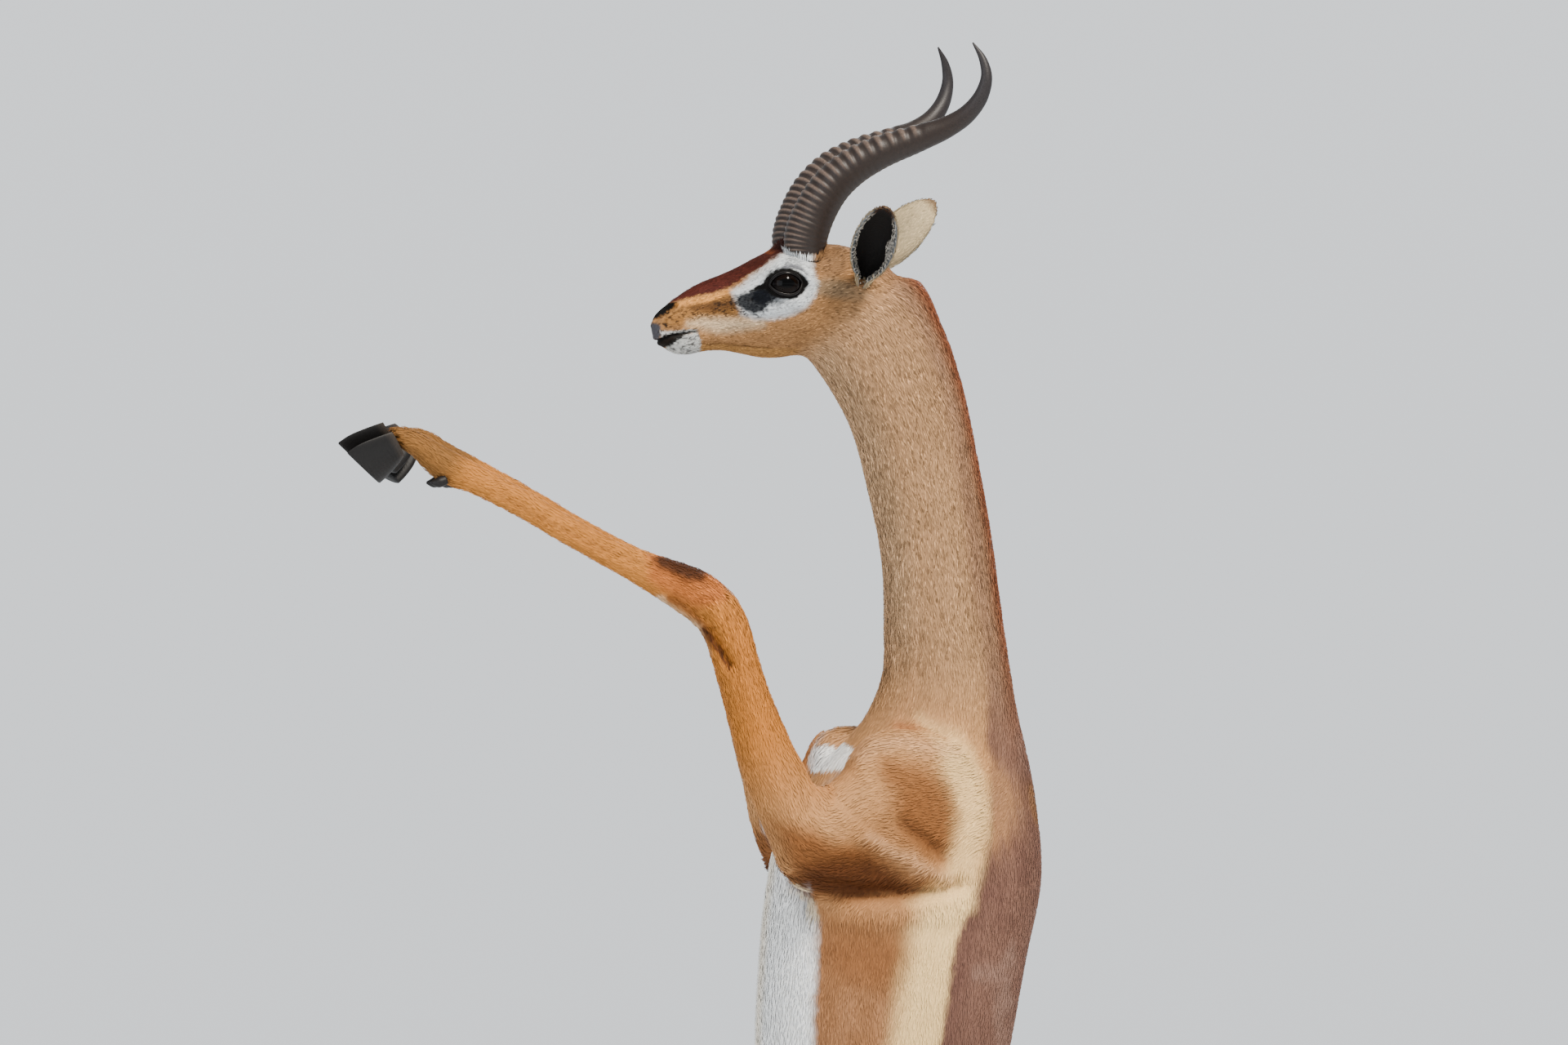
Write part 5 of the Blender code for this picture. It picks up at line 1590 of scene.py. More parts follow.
def unwrap(obj: Object) -> None:
    """Unwraps a piece by the directions that its faces look in, into the OFBake map.

    Args:
        obj: the piece.
    """
    obj.data.uv_layers.active = obj.data.uv_layers.new(name="OFBake")
    bpy.context.view_layer.objects.active = obj
    for other in bpy.context.selected_objects:
        other.select_set(False)
    obj.select_set(True)
    bpy.ops.object.mode_set(mode="EDIT")
    bpy.ops.mesh.select_all(action="SELECT")
    bpy.ops.uv.smart_project(angle_limit=math.radians(66), island_margin=0.002)
    bpy.ops.object.mode_set(mode="OBJECT")
    obj.select_set(False)


class Roots(NamedTuple):
    """Where tufts grow: on a surface, with the surface's normal and its place on the unwrap."""

    points: Array
    normals: Array
    uv: Array

    def chosen(self, which: Array) -> Roots:
        """The roots that a mask or an order picks out."""
        return Roots(*(rows[which] for rows in self))


def scatter(obj: Object, density: Array, seed: int) -> Roots:
    """Draws roots on a mesh's triangles, each with a chance by its area and its corners' density.

    Args:
        obj: a mesh of triangles with an OFBake map.
        density: tufts per square metre at each vertex.
        seed: starts the random draw.

    Returns:
        The roots.
    """
    mesh = obj.data
    mesh.calc_loop_triangles()
    points, normals = mesh_points(obj), mesh_normals(obj)
    corners = pull(mesh.loop_triangles, "vertices", 3, np.int32)
    uv = pull(mesh.uv_layers["OFBake"].data, "uv", 2)[pull(mesh.loop_triangles, "loops", 3, np.int32)]
    a, b, c = (points[corners[:, k]] for k in range(3))
    area = np.linalg.norm(np.cross(b - a, c - a), axis=1) / 2
    wanted = np.cumsum(area * density[corners].mean(axis=1))
    draw = np.random.default_rng(seed)
    ticks = np.arange(0.5, wanted[-1])
    ticks = ticks + draw.uniform(-0.45, 0.45, len(ticks))
    chosen = np.clip(np.searchsorted(wanted, ticks), 0, len(corners) - 1)
    first, second = draw.random(len(chosen)), draw.random(len(chosen))
    over = first + second > 1
    first[over], second[over] = 1 - first[over], 1 - second[over]
    share = columns(1 - first - second, first, second)[..., None]
    place = (points[corners[chosen]] * share).sum(axis=1)
    facing = unit((normals[corners[chosen]] * share).sum(axis=1))
    return Roots(place, facing, (uv[chosen] * share).sum(axis=1))


@dataclass
class TuftShape:
    """A flat tuft of hair, pointed at both ends: its root is sunk and its tip lies low."""

    sink: float = 0.0006
    thickness: float = 0.26
    widest: float = 0.42
    patch: float = 0.003
    lean: float = 0.35
    # How a tuft's root, left and right edges, ridge and tip scale its colour: painted shade at the sunk root
    # and the edges, painted highlight on the ridge and the tip.
    shade: tuple[float, ...] = (0.80, 0.94, 0.94, 1.03, 1.12)

    def surface(self, roots: Roots, flow: Array, sizes: Array) -> tuple[Array, Array, Array]:
        """All tufts' points at once.

        Each is a low leaf of five points: its root, its left and right edges and its ridge
        at its widest place, lifted by lift, and its tip, lifted by a third of that.

        Args:
            roots: where they grow.
            flow: each one's direction.
            sizes: rows of length, width and lift.

        Returns:
            Points and normals in rows of five, and faces.
        """
        length, width, lift = sizes.T[..., None]
        up = roots.normals
        across = unit(np.cross(up, flow))
        wide = across * width / 2
        root = roots.points - up * self.sink - flow * (0.12 * length)
        middle = roots.points + flow * (self.widest * length) + up * lift
        ridge = middle + up * (width * self.thickness)
        tip = roots.points + flow * length + up * (lift * 0.35)
        points = np.stack([root, middle - wide, middle + wide, ridge, tip], axis=1)
        side = across * self.lean
        normals = np.stack([up, up - side, up + side, up, up + flow * 0.3], axis=1)
        one = np.array([[0, 1, 3], [0, 3, 2], [0, 2, 1], [4, 3, 1], [4, 2, 3], [4, 1, 2]])
        faces = np.arange(len(points))[:, None, None] * 5 + one[None]
        return points.reshape(-1, 3), unit(normals).reshape(-1, 3), faces.reshape(-1, 3)

    def piece(self, name: str, roots: Roots, flow: Array, sizes: Array, colours: Array) -> Object:
        """One joined mesh of tufts, with their colours, painted shade at the root and painted highlight on
        the ridge and tip, soft normals and patches on the unwrap.

        Args:
            name: the piece's name.
            roots: where the tufts grow.
            flow: each one's direction.
            sizes: rows of length, width and lift.
            colours: rows of linear colour, one a tuft.

        Returns:
            The piece.
        """
        points, normals, faces = self.surface(roots, flow, sizes)
        obj = mesh_object(name, points, faces)
        shade = np.array(self.shade)[:, None]
        paint_attribute(obj, "coat", (colours[:, None] * shade).reshape(-1, 3))
        spread = np.array([[0, 0], [-0.5, 0.45], [0.5, 0.45], [0, 0.55], [0, 1]]) * self.patch
        uv = np.clip((roots.uv[:, None] + spread[None]).reshape(-1, 2), 0, 1)
        layer = obj.data.uv_layers.new(name="OFBake")
        layer.data.foreach_set("uv", uv[faces.ravel()].astype(np.float32).ravel())
        obj.data.normals_split_custom_set_from_vertices(normals.astype(np.float32))
        return obj


TUFT = TuftShape()


def turned(flow: Array, normals: Array, angle: Array) -> Array:
    """Directions turned about the normals by an angle each."""
    return unit(flow * np.cos(angle)[:, None] + np.cross(normals, flow) * np.sin(angle)[:, None])


@dataclass
class Coat:
    """The short coat: tufts in thousands over the skin, finest on the face."""

    pattern: CoatPattern
    spacing_face: float = 0.00150
    spacing_neck: float = 0.00245
    spacing_body: float = 0.00320
    seed: int = 7
    piece_tufts: int = 33000
    face_reach: float = 0.12
    hooves_top: float = 0.06

    def spacing(self, points: Array) -> Array:
        """The distance between tufts: close on the face, wider down the neck and on the body.

        Args:
            points: rows of coordinates.

        Returns:
            One distance a point.
        """
        away = np.linalg.norm(points - head_point(0.09, -0.005), axis=1)
        space = self.spacing_face + (self.spacing_neck - self.spacing_face) * ease(away, 0.05, 0.13)
        return space + (self.spacing_body - self.spacing_neck) * ease(away, 0.20, 0.50)

    def bare(self, points: Array) -> Array:
        """1 where hair grows, and 0 on the eyes, lips, nostrils, nose and gland pits.

        Args:
            points: rows of coordinates.

        Returns:
            One mask value a point.
        """
        uv = head_uv(points)
        face = np.linalg.norm(points - head_point(0.088, -0.006), axis=1) < self.face_reach
        grows = ease(almond(uv), 1.20, 1.30)
        for path, halves in (
            (MOUTH_LINE, 0.0022), (NOSTRIL_LINE, NOSTRIL_HALVES + 0.0016), (GLAND_SLIT, 0.0022),
        ):
            grows *= 1 - stroke_mask(uv, path, halves, 0.0010)
        grows *= np.maximum(ease(uv[:, 0], 0.008, 0.012), ease(uv[:, 1], 0.006, 0.010))
        return np.where(face, grows, 1)

    def sizes(self, points: Array, draw: np.random.Generator) -> Array:
        """Rows of length, width and lift: long on belly and nape, short on the face and legs.

        Args:
            points: where the tufts grow.
            draw: the random draw that varies them.

        Returns:
            One row a tuft.
        """
        space = self.spacing(points)
        place = self.pattern.forms["trunk"].locate(points)
        near_trunk = np.exp(-np.maximum(place.gap, 0) / 0.008)
        belly = near_trunk * (1 - ease(place.aft, -0.85, -0.55))
        nape = near_trunk * ease(place.aft, 0.62, 0.90) * ease(points[:, 2], 1.45, 1.6)
        fringe = line_rise(points[:, [0, 2]], line(-110, 1327, -92, 1314, -88, 1296), 0.005)
        crest = forehead_tuft(points, 0.146, 0.013, 0.032)
        length = space * 2.9 * (1 + 0.35 * belly + 0.45 * nape + 0.6 * fringe + 1.4 * crest)
        lift = space * 0.24 * (1 + 0.5 * belly + 0.9 * nape + fringe + 3.0 * crest)
        return columns(length, space * 0.48, lift) * draw.uniform(0.78, 1.22, (len(points), 3))

    def tones(self, colours: Array, points: Array, draw: np.random.Generator) -> Array:
        """Tufts a little lighter or darker than the markings, most on the cheeks and neck.

        Some there are pale-tipped and some dark, which gives the fur its fleck; white hair
        varies least, because its shadows show already.

        Args:
            colours: rows of linear colour.
            points: where the tufts grow.
            draw: the random draw that varies them.

        Returns:
            The new rows of colour.
        """
        size = len(colours)
        brightness = colours.mean(axis=1, keepdims=True)
        upper = ease(points[:, 2:3], 1.42, 1.62) * (1 - ease(-points[:, 0:1], 0.19, 0.23))
        amount = (0.07 + 0.07 * upper) * (1.15 - ease(brightness, 0.30, 0.75))
        tone = 1 + amount * draw.normal(0, 1, (size, 1)) + 0.05 * noise(points, 0.006, 22)[:, None]
        pick = draw.random((size, 1))
        pale = (pick < 0.20) * upper * 0.42 * (1 - ease(brightness, 0.4, 0.5))
        dark = (pick > 0.80) * upper * 0.46
        return np.clip(colours * np.clip(tone, 0.6, 1.4) * (1 + pale - dark), 0, 1)

    def build(self, skin: Object) -> None:
        """Grows the coat on the painted and unwrapped skin.

        Its pieces have fewer than 200,000 triangles each, from the nose down.

        Args:
            skin: what the tufts grow on.
        """
        points = mesh_points(skin)
        grows = self.bare(points) * (points[:, 2] > self.hooves_top)
        roots = scatter(skin, grows / self.spacing(points) ** 2, self.seed)
        roots = roots.chosen(self.bare(roots.points) > 0.5)
        roots = roots.chosen(np.argsort(-roots.points[:, 2]))
        draw = np.random.default_rng(self.seed + 1)
        flow, _ = self.pattern.lie(roots.points, roots.normals)
        swirl = 0.16 * noise(roots.points, 0.018, 21) + draw.normal(0, 0.10, len(flow))
        flow = turned(flow, roots.normals, swirl)
        sizes = self.sizes(roots.points, draw)
        colours = self.pattern.colours(roots.points + flow * sizes[:, :1] * 0.4)
        colours = self.tones(colours, roots.points, draw)
        for index, start in enumerate(range(0, len(colours), self.piece_tufts)):
            part = slice(start, start + self.piece_tufts)
            name = f"coat_{index + 1:02d}"
            piece = TUFT.piece(name, roots.chosen(part), flow[part], sizes[part], colours[part])
            dress(piece, HAIR, "coat")


def swept(path: Array, radii: Array, places: Array, count: int, flatten: float = 1.0) -> tuple[Array, ...]:
    """Rings of changing radius carried along a smooth path.

    Args:
        path: the path's points.
        radii: the radius at each.
        places: shares of the path where rings are wanted.
        count: points round each ring.
        flatten: how wide a ring is sideways for its height.

    Returns:
        Each ring's centre, and its points' offsets for a radius of one, angles and radii.
    """
    knots = run_lengths(path)
    places = np.minimum(places * knots[-1], knots[-1])
    middle = smooth_curve(knots, path, places)
    tangent = unit(np.gradient(middle, places, axis=0))
    sideways = unit(np.cross(tangent, np.cross([0.0, 1.0, 0.0], tangent)))
    upper = np.cross(tangent, sideways)
    angle = circle(count)
    offsets = upper[:, None] * np.cos(angle)[:, None] + sideways[:, None] * (np.sin(angle) * flatten)[:, None]
    radius = smooth_curve(knots, np.asarray(radii)[:, None], places)[:, 0]
    return middle, offsets, angle, radius


@dataclass
class Eye:
    """An eyeball with its clear bulge, dark iris and level pupil, its wet lid rims and its lashes."""

    side: Side
    rows: int = 60
    around: int = 72
    bulge: float = 0.0010
    iris: float = 0.72
    pupil: tuple[float, float] = (0.0080, 0.0045)
    rim_radius: float = 0.00095
    rim_count: int = 120
    rim_around: int = 12
    lashes: int = 38
    skin: str = "#0D0A09"

    @property
    def centre(self) -> Array:
        """The eyeball's middle."""
        return head_point(EYE_U, EYE_V, self.side.value * EYE_Y)

    def ball(self) -> Object:
        """The eyeball: a sphere whose radius grows by a Gaussian about the outward axis.

        Its iris is streaked by a sine of the angle round it, and its pupil is a level oval.

        Returns:
            The eyeball.
        """
        axis = unit(np.array([-0.10, self.side.value, 0.03]))
        level = unit(np.cross([0, 0, 1], axis))
        polar = np.linspace(0.02, math.pi - 0.02, self.rows)[:, None]
        turn = circle(self.around)[None]
        radius = EYE_RADIUS - GAP + self.bulge * gaussian(polar, 0, 0.6)
        across, rise = np.sin(polar) * np.cos(turn), np.sin(polar) * np.sin(turn)
        out = np.cos(polar) * np.ones_like(turn)
        parts = zip((out, across, rise), (axis, level, np.cross(axis, level)))
        rings = self.centre + sum((radius * share)[..., None] * way for share, way in parts)
        ball = tube_object(f"eyeball_{self.side.word}", rings)
        wide, tall = self.pupil
        pupil = 1 - ease(np.hypot(across * EYE_RADIUS / wide, rise * EYE_RADIUS / tall), 0.9, 1.1)[..., None]
        fibre = 0.5 + 0.5 * np.sin(turn * 38 + 3 * np.sin(turn * 7))
        rim = ease(polar * np.ones_like(turn), self.iris - 0.16, self.iris)[..., None]
        colours = linear("#0E0704") * (0.7 + 0.6 * fibre[..., None]) * (1 - rim) + linear("#080505") * rim
        colours = colours * (1 - pupil) + linear("#030303") * pupil
        paint_attribute(ball, "eye", with_poles(colours))
        return ball

    def opening(self, count: int, out: float) -> Array:
        """Points on the lids' edge, where the almond's measure is one.

        Args:
            count: how many.
            out: how far they stand off the eyeball.

        Returns:
            Rows of coordinates.
        """
        turn = circle(count)
        pinch = np.maximum(np.abs(np.sin(turn)) ** LID_PINCH, 0.25)
        reach = 1 / np.hypot(np.cos(turn), np.sin(turn) / pinch)
        du = reach * np.cos(turn) * LID_LENGTH / 2
        dv = reach * np.sin(turn) * LID_HEIGHT / 2 + LID_TILT * du
        y = EYE_Y + np.sqrt(np.maximum((EYE_RADIUS + out) ** 2 - du**2 - dv**2, 0.005**2))
        x, z = head_xz(EYE_U + du, EYE_V + dv)
        return columns(x, self.side.value * y, z)

    def rim(self) -> Object:
        """The lids' wet edge: a closed ring tube along the opening.

        Returns:
            The lid's rim.
        """
        middle = self.opening(self.rim_count, 0.0007)
        ahead = unit(np.roll(middle, -1, axis=0) - np.roll(middle, 1, axis=0))
        outward = unit(middle - self.centre)
        across = unit(np.cross(ahead, outward))
        angle = circle(self.rim_around)[None, :, None]
        section = np.cos(angle) * outward[:, None] + 1.5 * np.sin(angle) * across[:, None]
        points = (middle[:, None] + self.rim_radius * section).reshape(-1, 3)
        index = np.arange(len(points)).reshape(self.rim_count, self.rim_around)
        beside = np.roll(index, -1, axis=1)
        faces = np.stack([index, beside, np.roll(beside, -1, axis=0), np.roll(index, -1, axis=0)], -1)
        lid = turn_outward(mesh_object(f"eyelid_{self.side.word}", points, faces.reshape(-1, 4)))
        paint_attribute(lid, "coat", linear(self.skin))
        return lid

    def lash_piece(self) -> Object:
        """Lashes along the upper lid, out over the eye and swept back a little.

        Returns:
            The lashes.
        """
        edge = self.opening(400, 0.0010)
        uv = head_uv(edge)
        upper = np.nonzero(uv[:, 1] - EYE_V > 0.0035 + LID_TILT * (uv[:, 0] - EYE_U))[0]
        chosen = edge[upper[np.linspace(0, len(upper) - 1, self.lashes).astype(int)]]
        out = unit(chosen - self.centre)
        flow = unit(out + np.array([0.25, self.side.value * 0.5, -0.35]))
        length = np.random.default_rng(31).uniform(0.005, 0.008, self.lashes)
        spots = columns(np.arange(self.lashes) * 0.02 + 0.1, 0.5)
        roots = Roots(chosen, unit(np.cross(np.cross(flow, out), flow)), spots)
        colours = np.tile(linear(self.skin), (self.lashes, 1))
        return TUFT.piece(f"lashes_{self.side.word}", roots, flow, columns(length, 0.0005, 0.0004), colours)

    def build(self) -> None:
        """Builds and dresses the eye's pieces."""
        dress(self.ball(), EYEBALL, "eye", f"eye_{self.side.word}")
        dress(self.rim(), WET_RIM, "coat")
        dress(self.lash_piece(), HAIR, "coat")


@dataclass
class Ear:
    """A cupped ear: dark and nearly bare inside, tan behind, with pale hair along its rim."""

    side: Side
    length: float = 0.1185
    width: float = 0.0415
    wall: float = 0.0028
    rows: int = 60
    across: int = 61
    seat: float = 0.55
    tip_bend: float = 0.008
    shares_along: tuple[float, ...] = (0, 0.12, 0.30, 0.50, 0.70, 0.86, 0.96, 1)
    halves: tuple[float, ...] = (0.32, 0.44, 0.78, 1, 0.93, 0.66, 0.34, 0.12)
    wraps: tuple[float, ...] = (160, 148, 112, 84, 66, 54, 46, 40)

    def frame(self) -> tuple[Array, Array, Array, Array]:
        """The ear's root, lengthwise axis, opening direction and the direction across both.

        Returns:
            A point and three unit directions.
        """
        root, axis, opening = {
            Side.LEFT: ((0.208, -0.007, -0.033), (-0.01, -0.79, 0.61), (-0.46, -0.62, -0.63)),
            Side.RIGHT: ((0.2185, -0.004, 0.030), (0.74, 0.22, 0.63), (-0.03, 0.95, -0.29)),
        }[self.side]
        axis = unit(np.array(axis))
        opening = unit(np.array(opening) - axis * (np.array(opening) @ axis))
        return head_point(*root), axis, opening, np.cross(axis, opening)

    def surface(self, inset: float) -> Array:
        """One face of the ear, row by row from its root.

        A row's points lie on an arc whose half angle is the ear's wrap there, and whose radius
        gives the ear its half width; the tip bends towards the opening by its square.

        Args:
            inset: how far in from the outer face.

        Returns:
            (rows, across, 3) coordinates.
        """
        root, axis, opening, across = self.frame()
        along = np.linspace(0, 1, self.rows) ** 0.9
        shape = smooth_curve(np.array(self.shares_along), np.array([self.halves, self.wraps], float).T, along)
        wrap = np.radians(shape[:, 1:2])
        radius = self.width / 2 * shape[:, :1] / np.sin(np.minimum(wrap, math.pi / 2))
        turn = np.linspace(-1, 1, self.across)[None]
        radius_in = radius - inset * np.sqrt(1 - (turn**8) * 0.75)
        along = along[:, None]
        depth = self.seat * radius - radius_in * np.cos(turn * wrap) + self.tip_bend * along**2
        sideways = radius_in * np.sin(turn * wrap)
        parts = zip((self.length * along, sideways, depth), (axis, across, opening))
        return sum((share[..., None] * way for share, way in parts), root)

    def shell(self) -> Object:
        """The outer and the inner face joined round the rim, with their colours.

        Returns:
            The ear.
        """
        outer, inner = self.surface(0.0), self.surface(self.wall)
        far = outer.size // 3
        index = np.arange(far).reshape(outer.shape[:2])
        wall = np.stack([index[:-1, :-1], index[:-1, 1:], index[1:, 1:], index[1:, :-1]], -1).reshape(-1, 4)
        rim = np.concatenate([index[:, 0], index[-1, 1:], index[-2::-1, -1], index[0, -2:0:-1]])
        after = np.roll(rim, -1)
        edge = columns(rim, after, after + far, rim + far)
        points = np.concatenate([outer.reshape(-1, 3), inner.reshape(-1, 3)])
        faces = np.concatenate([wall, wall[:, ::-1] + far, edge])
        made = turn_outward(mesh_object(f"ear_skin_{self.side.word}", points, faces))
        paint_attribute(made, "coat", self.colours(*self.shares(points)))
        return made

    def shares(self, points: Array) -> tuple[Array, Array, Array]:
        """Each point's share along the ear, its side from -1 to 1, and 1 on the inner face.

        Args:
            points: rows of coordinates.

        Returns:
            Three rows of one number a point.
        """
        root, axis, opening, _ = self.frame()
        along = np.clip((points - root) @ axis / self.length, 0, 1)
        rows = np.linspace(0, 1, self.rows) ** 0.9
        centre = self.surface(self.wall / 2)[np.clip(np.searchsorted(rows, along), 0, self.rows - 1)]
        column = np.linalg.norm(points[:, None] - centre, axis=2).argmin(axis=1)
        nearest = centre[np.arange(len(points)), column]
        across = np.linalg.norm(centre[:, 0] - centre[:, -1], axis=1)[:, None]
        hub = centre[:, self.across // 2] + opening * across * 0.5
        inside = np.linalg.norm(points - hub, axis=1) < np.linalg.norm(nearest - hub, axis=1)
        return along, column / (self.across - 1) * 2 - 1, inside.astype(float)

    def margin(self, along: Array, side: Array) -> Array:
        """1 on the inner face's pale margin, which is narrow but for a lobe behind.

        Args:
            along: each point's share along the ear.
            side: its side from -1 to 1.

        Returns:
            One mask value a point.
        """
        front, lobe = 0.90 - 0.16 * gaussian(along, 0.20, 0.14), 0.86 - 0.34 * gaussian(along, 0.50, 0.11)
        edge = np.where(side * self.side.value > 0, front, lobe)
        return ease(np.abs(side), edge - 0.06, edge + 0.06)

    def colours(self, along: Array, side: Array, inside: Array) -> Array:
        """Tan back with a brown tip, and a black hollow inside a pale margin.

        Args:
            along: each point's share along the ear.
            side: its side from -1 to 1.
            inside: 1 on the inner face.

        Returns:
            Rows of linear colour.
        """
        back = layered(
            Hue.EAR_BACK.light,
            (ease(np.abs(side), 0.75, 0.95), Hue.EAR_GREY, 0.7),
            (ease(along, 0.84, 0.97), Hue.TAIL, 0.8),
        )
        hollow = layered(
            Hue.BLACK.light,
            (self.margin(along, side), Hue.BROW_GREY, 0.85),
            (ease(along, 0.84, 0.95), Hue.SKIN_DARK),
        )
        return back * (1 - inside[:, None]) + hollow * inside[:, None]

    def tufts(self, skin: Object) -> Object:
        """Short hair over the back, and long pale hair that leans in from the inner margin.

        Args:
            skin: the ear, unwrapped.

        Returns:
            The hair.
        """
        _, axis, opening, across = self.frame()
        along, side, inside = self.shares(mesh_points(skin))
        margin = inside * self.margin(along, side) * ease(along, 0.08, 0.2)
        roots = scatter(skin, (1 - inside) / 0.0021**2 + margin / 0.0016**2, 41 + self.side.value)
        along, side, inside = self.shares(roots.points)
        draw = np.random.default_rng(43 + self.side.value)
        size = len(along)
        lean = inside * 0.55 * -np.sign(side)
        flow = axis + across * lean[:, None] + opening * (inside * 0.30)[:, None]
        flow = flow - dots(flow, roots.normals)[:, None] * roots.normals * (1 - 0.6 * inside[:, None])
        flow = turned(unit(flow), roots.normals, draw.normal(0, 0.16, size))
        length = (0.0062 - 0.0018 * inside) * (1 - 0.45 * ease(along, 0.75, 1.0))
        sizes = columns(length, 0.0011, 0.0007 + 0.0010 * inside) * draw.uniform(0.75, 1.25, (size, 3))
        tip = ease(along, 0.80, 0.92)[:, None]
        pale = linear("#A9A398") * (1 - tip) + Hue.TAIL.light * 0.5 * tip
        colours = self.colours(along, side, inside) * (1 - inside[:, None]) + pale * inside[:, None]
        colours = colours * np.clip(1 + 0.14 * draw.normal(0, 1, (size, 1)), 0.6, 1.4)
        return TUFT.piece(f"ear_hair_{self.side.word}", roots, flow, sizes, colours)

    def build(self) -> None:
        """Builds and dresses the ear and its hair."""
        ear = self.shell()
        dress(ear, EAR_SKIN, "ear", f"ear_{self.side.word}")
        dress(self.tufts(ear), HAIR, "ear")


@dataclass
class Horn:
    """A horn: crests crowded at its base and wider apart above, then a smooth dark tip."""

    side: Side
    pattern: CoatPattern
    crests: int = 25
    first_gap: float = 0.0032
    last_gap: float = 0.0135
    plain_base: float = 0.005
    rows: int = 620
    around: int = 56
    flatness: float = 0.84
    rise: float = 0.0021
    collar_rows: int = 160
    collar_tufts: int = 640
    # The middle line from the skull up, as x, distance from y = 0, and z, and the radius at each.
    path: tuple[tuple[float, ...], ...] = (
        (-84.6, 19.5, 1922), (-86, 21.5, 1939), (-77, 26.2, 1969.4), (-62, 31, 1993.8),
        (-43.2, 35.2, 2011), (-22.6, 39.2, 2022.8), (21.5, 47, 2039.8), (44.4, 54, 2049.2),
        (63.6, 61, 2062.4), (75.8, 66, 2079.6), (80.3, 68, 2098.8), (77.2, 66, 2114), (68.7, 61, 2130),
    )
    radii: tuple[float, ...] = (17.2, 20.4, 20.2, 19, 17.8, 16.3, 12.8, 10.5, 8.8, 7.2, 5.4, 3.8, 0.8)

    def shape(self) -> tuple[Array, Array]:
        """The ringed surface and how high each point stands between hollow and crest.

        Between two crests the relief falls as a Gaussian from the lower one and rises as a wider
        one to the upper; it is strongest in front and fades above the last crest.

        Returns:
            The rings from the skull up, and one height a point.
        """
        path = mm(self.path) * [1, self.side.value, 1]
        length = np.linalg.norm(np.diff(path, axis=0), axis=1).sum()
        places = np.linspace(0, 1, self.rows)
        middle, offsets, angle, radius = swept(path, mm(self.radii), places, self.around, self.flatness)
        gaps = np.geomspace(self.first_gap, self.last_gap, self.crests)
        at = np.concatenate([[0], self.plain_base + np.cumsum(gaps), [length + 0.03]])
        s = places[:, None] * length + 0.0010 * np.sin(angle * 2)[None]
        i = np.clip(np.searchsorted(at, s) - 1, 0, len(at) - 2)
        phase = np.clip((s - at[i]) / (at[i + 1] - at[i]), 0, 1)
        high = gaussian(phase, 0, 0.24) + gaussian(1 - phase, 0, 0.34)
        fade = (1 - ease(s, at[-2] - 0.020, at[-2] + 0.010)) * ease(s, 0.002, 0.010)
        front = ease(np.cos(angle)[None], -0.55, 0.95)
        size = np.clip(radius[:, None] / 0.019, 0.35, 1.0) * np.clip((at[i + 1] - at[i]) / 0.009, 0.3, 1.0)
        relief = self.rise * (high - 0.45) * fade * front * size
        ripple = 0.00012 * np.sin(s / 0.0011) * fade
        rings = middle[:, None] + offsets * (radius[:, None] + relief + ripple)[..., None]
        return rings, high * fade * front

    def collar(self, rings: Array) -> Object:
        """Hair that grows up round the horn's base, rooted where the horn leaves the skin.

        Args:
            rings: the horn's rings.

        Returns:
            The hair.
        """
        base = slice(self.collar_rows)
        up = unit(np.gradient(rings, axis=0))[base].reshape(-1, 3)
        out = unit(rings - rings.mean(axis=1, keepdims=True))[base].reshape(-1, 3)
        points = rings[base].reshape(-1, 3)
        gap = self.pattern.forms["head"].locate(points).gap
        near = np.nonzero((gap > -0.0010) & (gap < 0.0032))[0]
        draw = np.random.default_rng(61 + self.side.value)
        some = draw.choice(near, self.collar_tufts)
        size = len(some)
        place = np.arange(size)
        sizes = np.array([0.0062, 0.0012, 0.0010]) * draw.uniform(0.5, 1.3, (size, 3))
        roots = Roots(points[some], out[some], columns(place % 24 * 0.04 + 0.02, place // 24 * 0.04 + 0.02))
        flow = turned(unit(up[some] + 0.10 * out[some]), out[some], draw.normal(0, 0.18, size))
        colours = self.pattern.colours(points[some]) * draw.uniform(0.8, 1.15, (size, 1))
        return TUFT.piece(f"horn_collar_{self.side.word}", roots, flow, sizes, colours)

    def build(self) -> None:
        """Builds and dresses the horn and the hair at its foot."""
        rings, high = self.shape()
        horn = tube_object(f"horn_ringed_{self.side.word}", rings)
        along = np.linspace(0, 1, self.rows)[:, None] * np.ones((1, self.around))
        # Lighter on the front crests and darker in the grooves, after the relief: painted highlight and
        # painted shade.
        tone, tip = ease(high, 0.30, 0.95)[..., None], ease(along, 0.66, 0.84)[..., None]
        colours = linear("#20150F") * (1 - tone) + linear("#5E4E44") * tone
        paint_attribute(horn, "horn", with_poles(colours * (1 - tip) + linear("#231F20") * tip))
        dress(horn, HORN, "horn", f"horn_{self.side.word}")
        dress(self.collar(rings), HAIR, "coat")


# One claw of a hoof from its sole up: height at toe and heel, x at toe and heel, half width.
CLAW_LAYERS = mm((
    (0, 0, -36, 25, 10.2), (14, 10, -31.5, 25.5, 10.5), (30, 22, -21.5, 24.5, 10.1),
    (43.6, 33.3, -11.5, 21.5, 9.2),
))


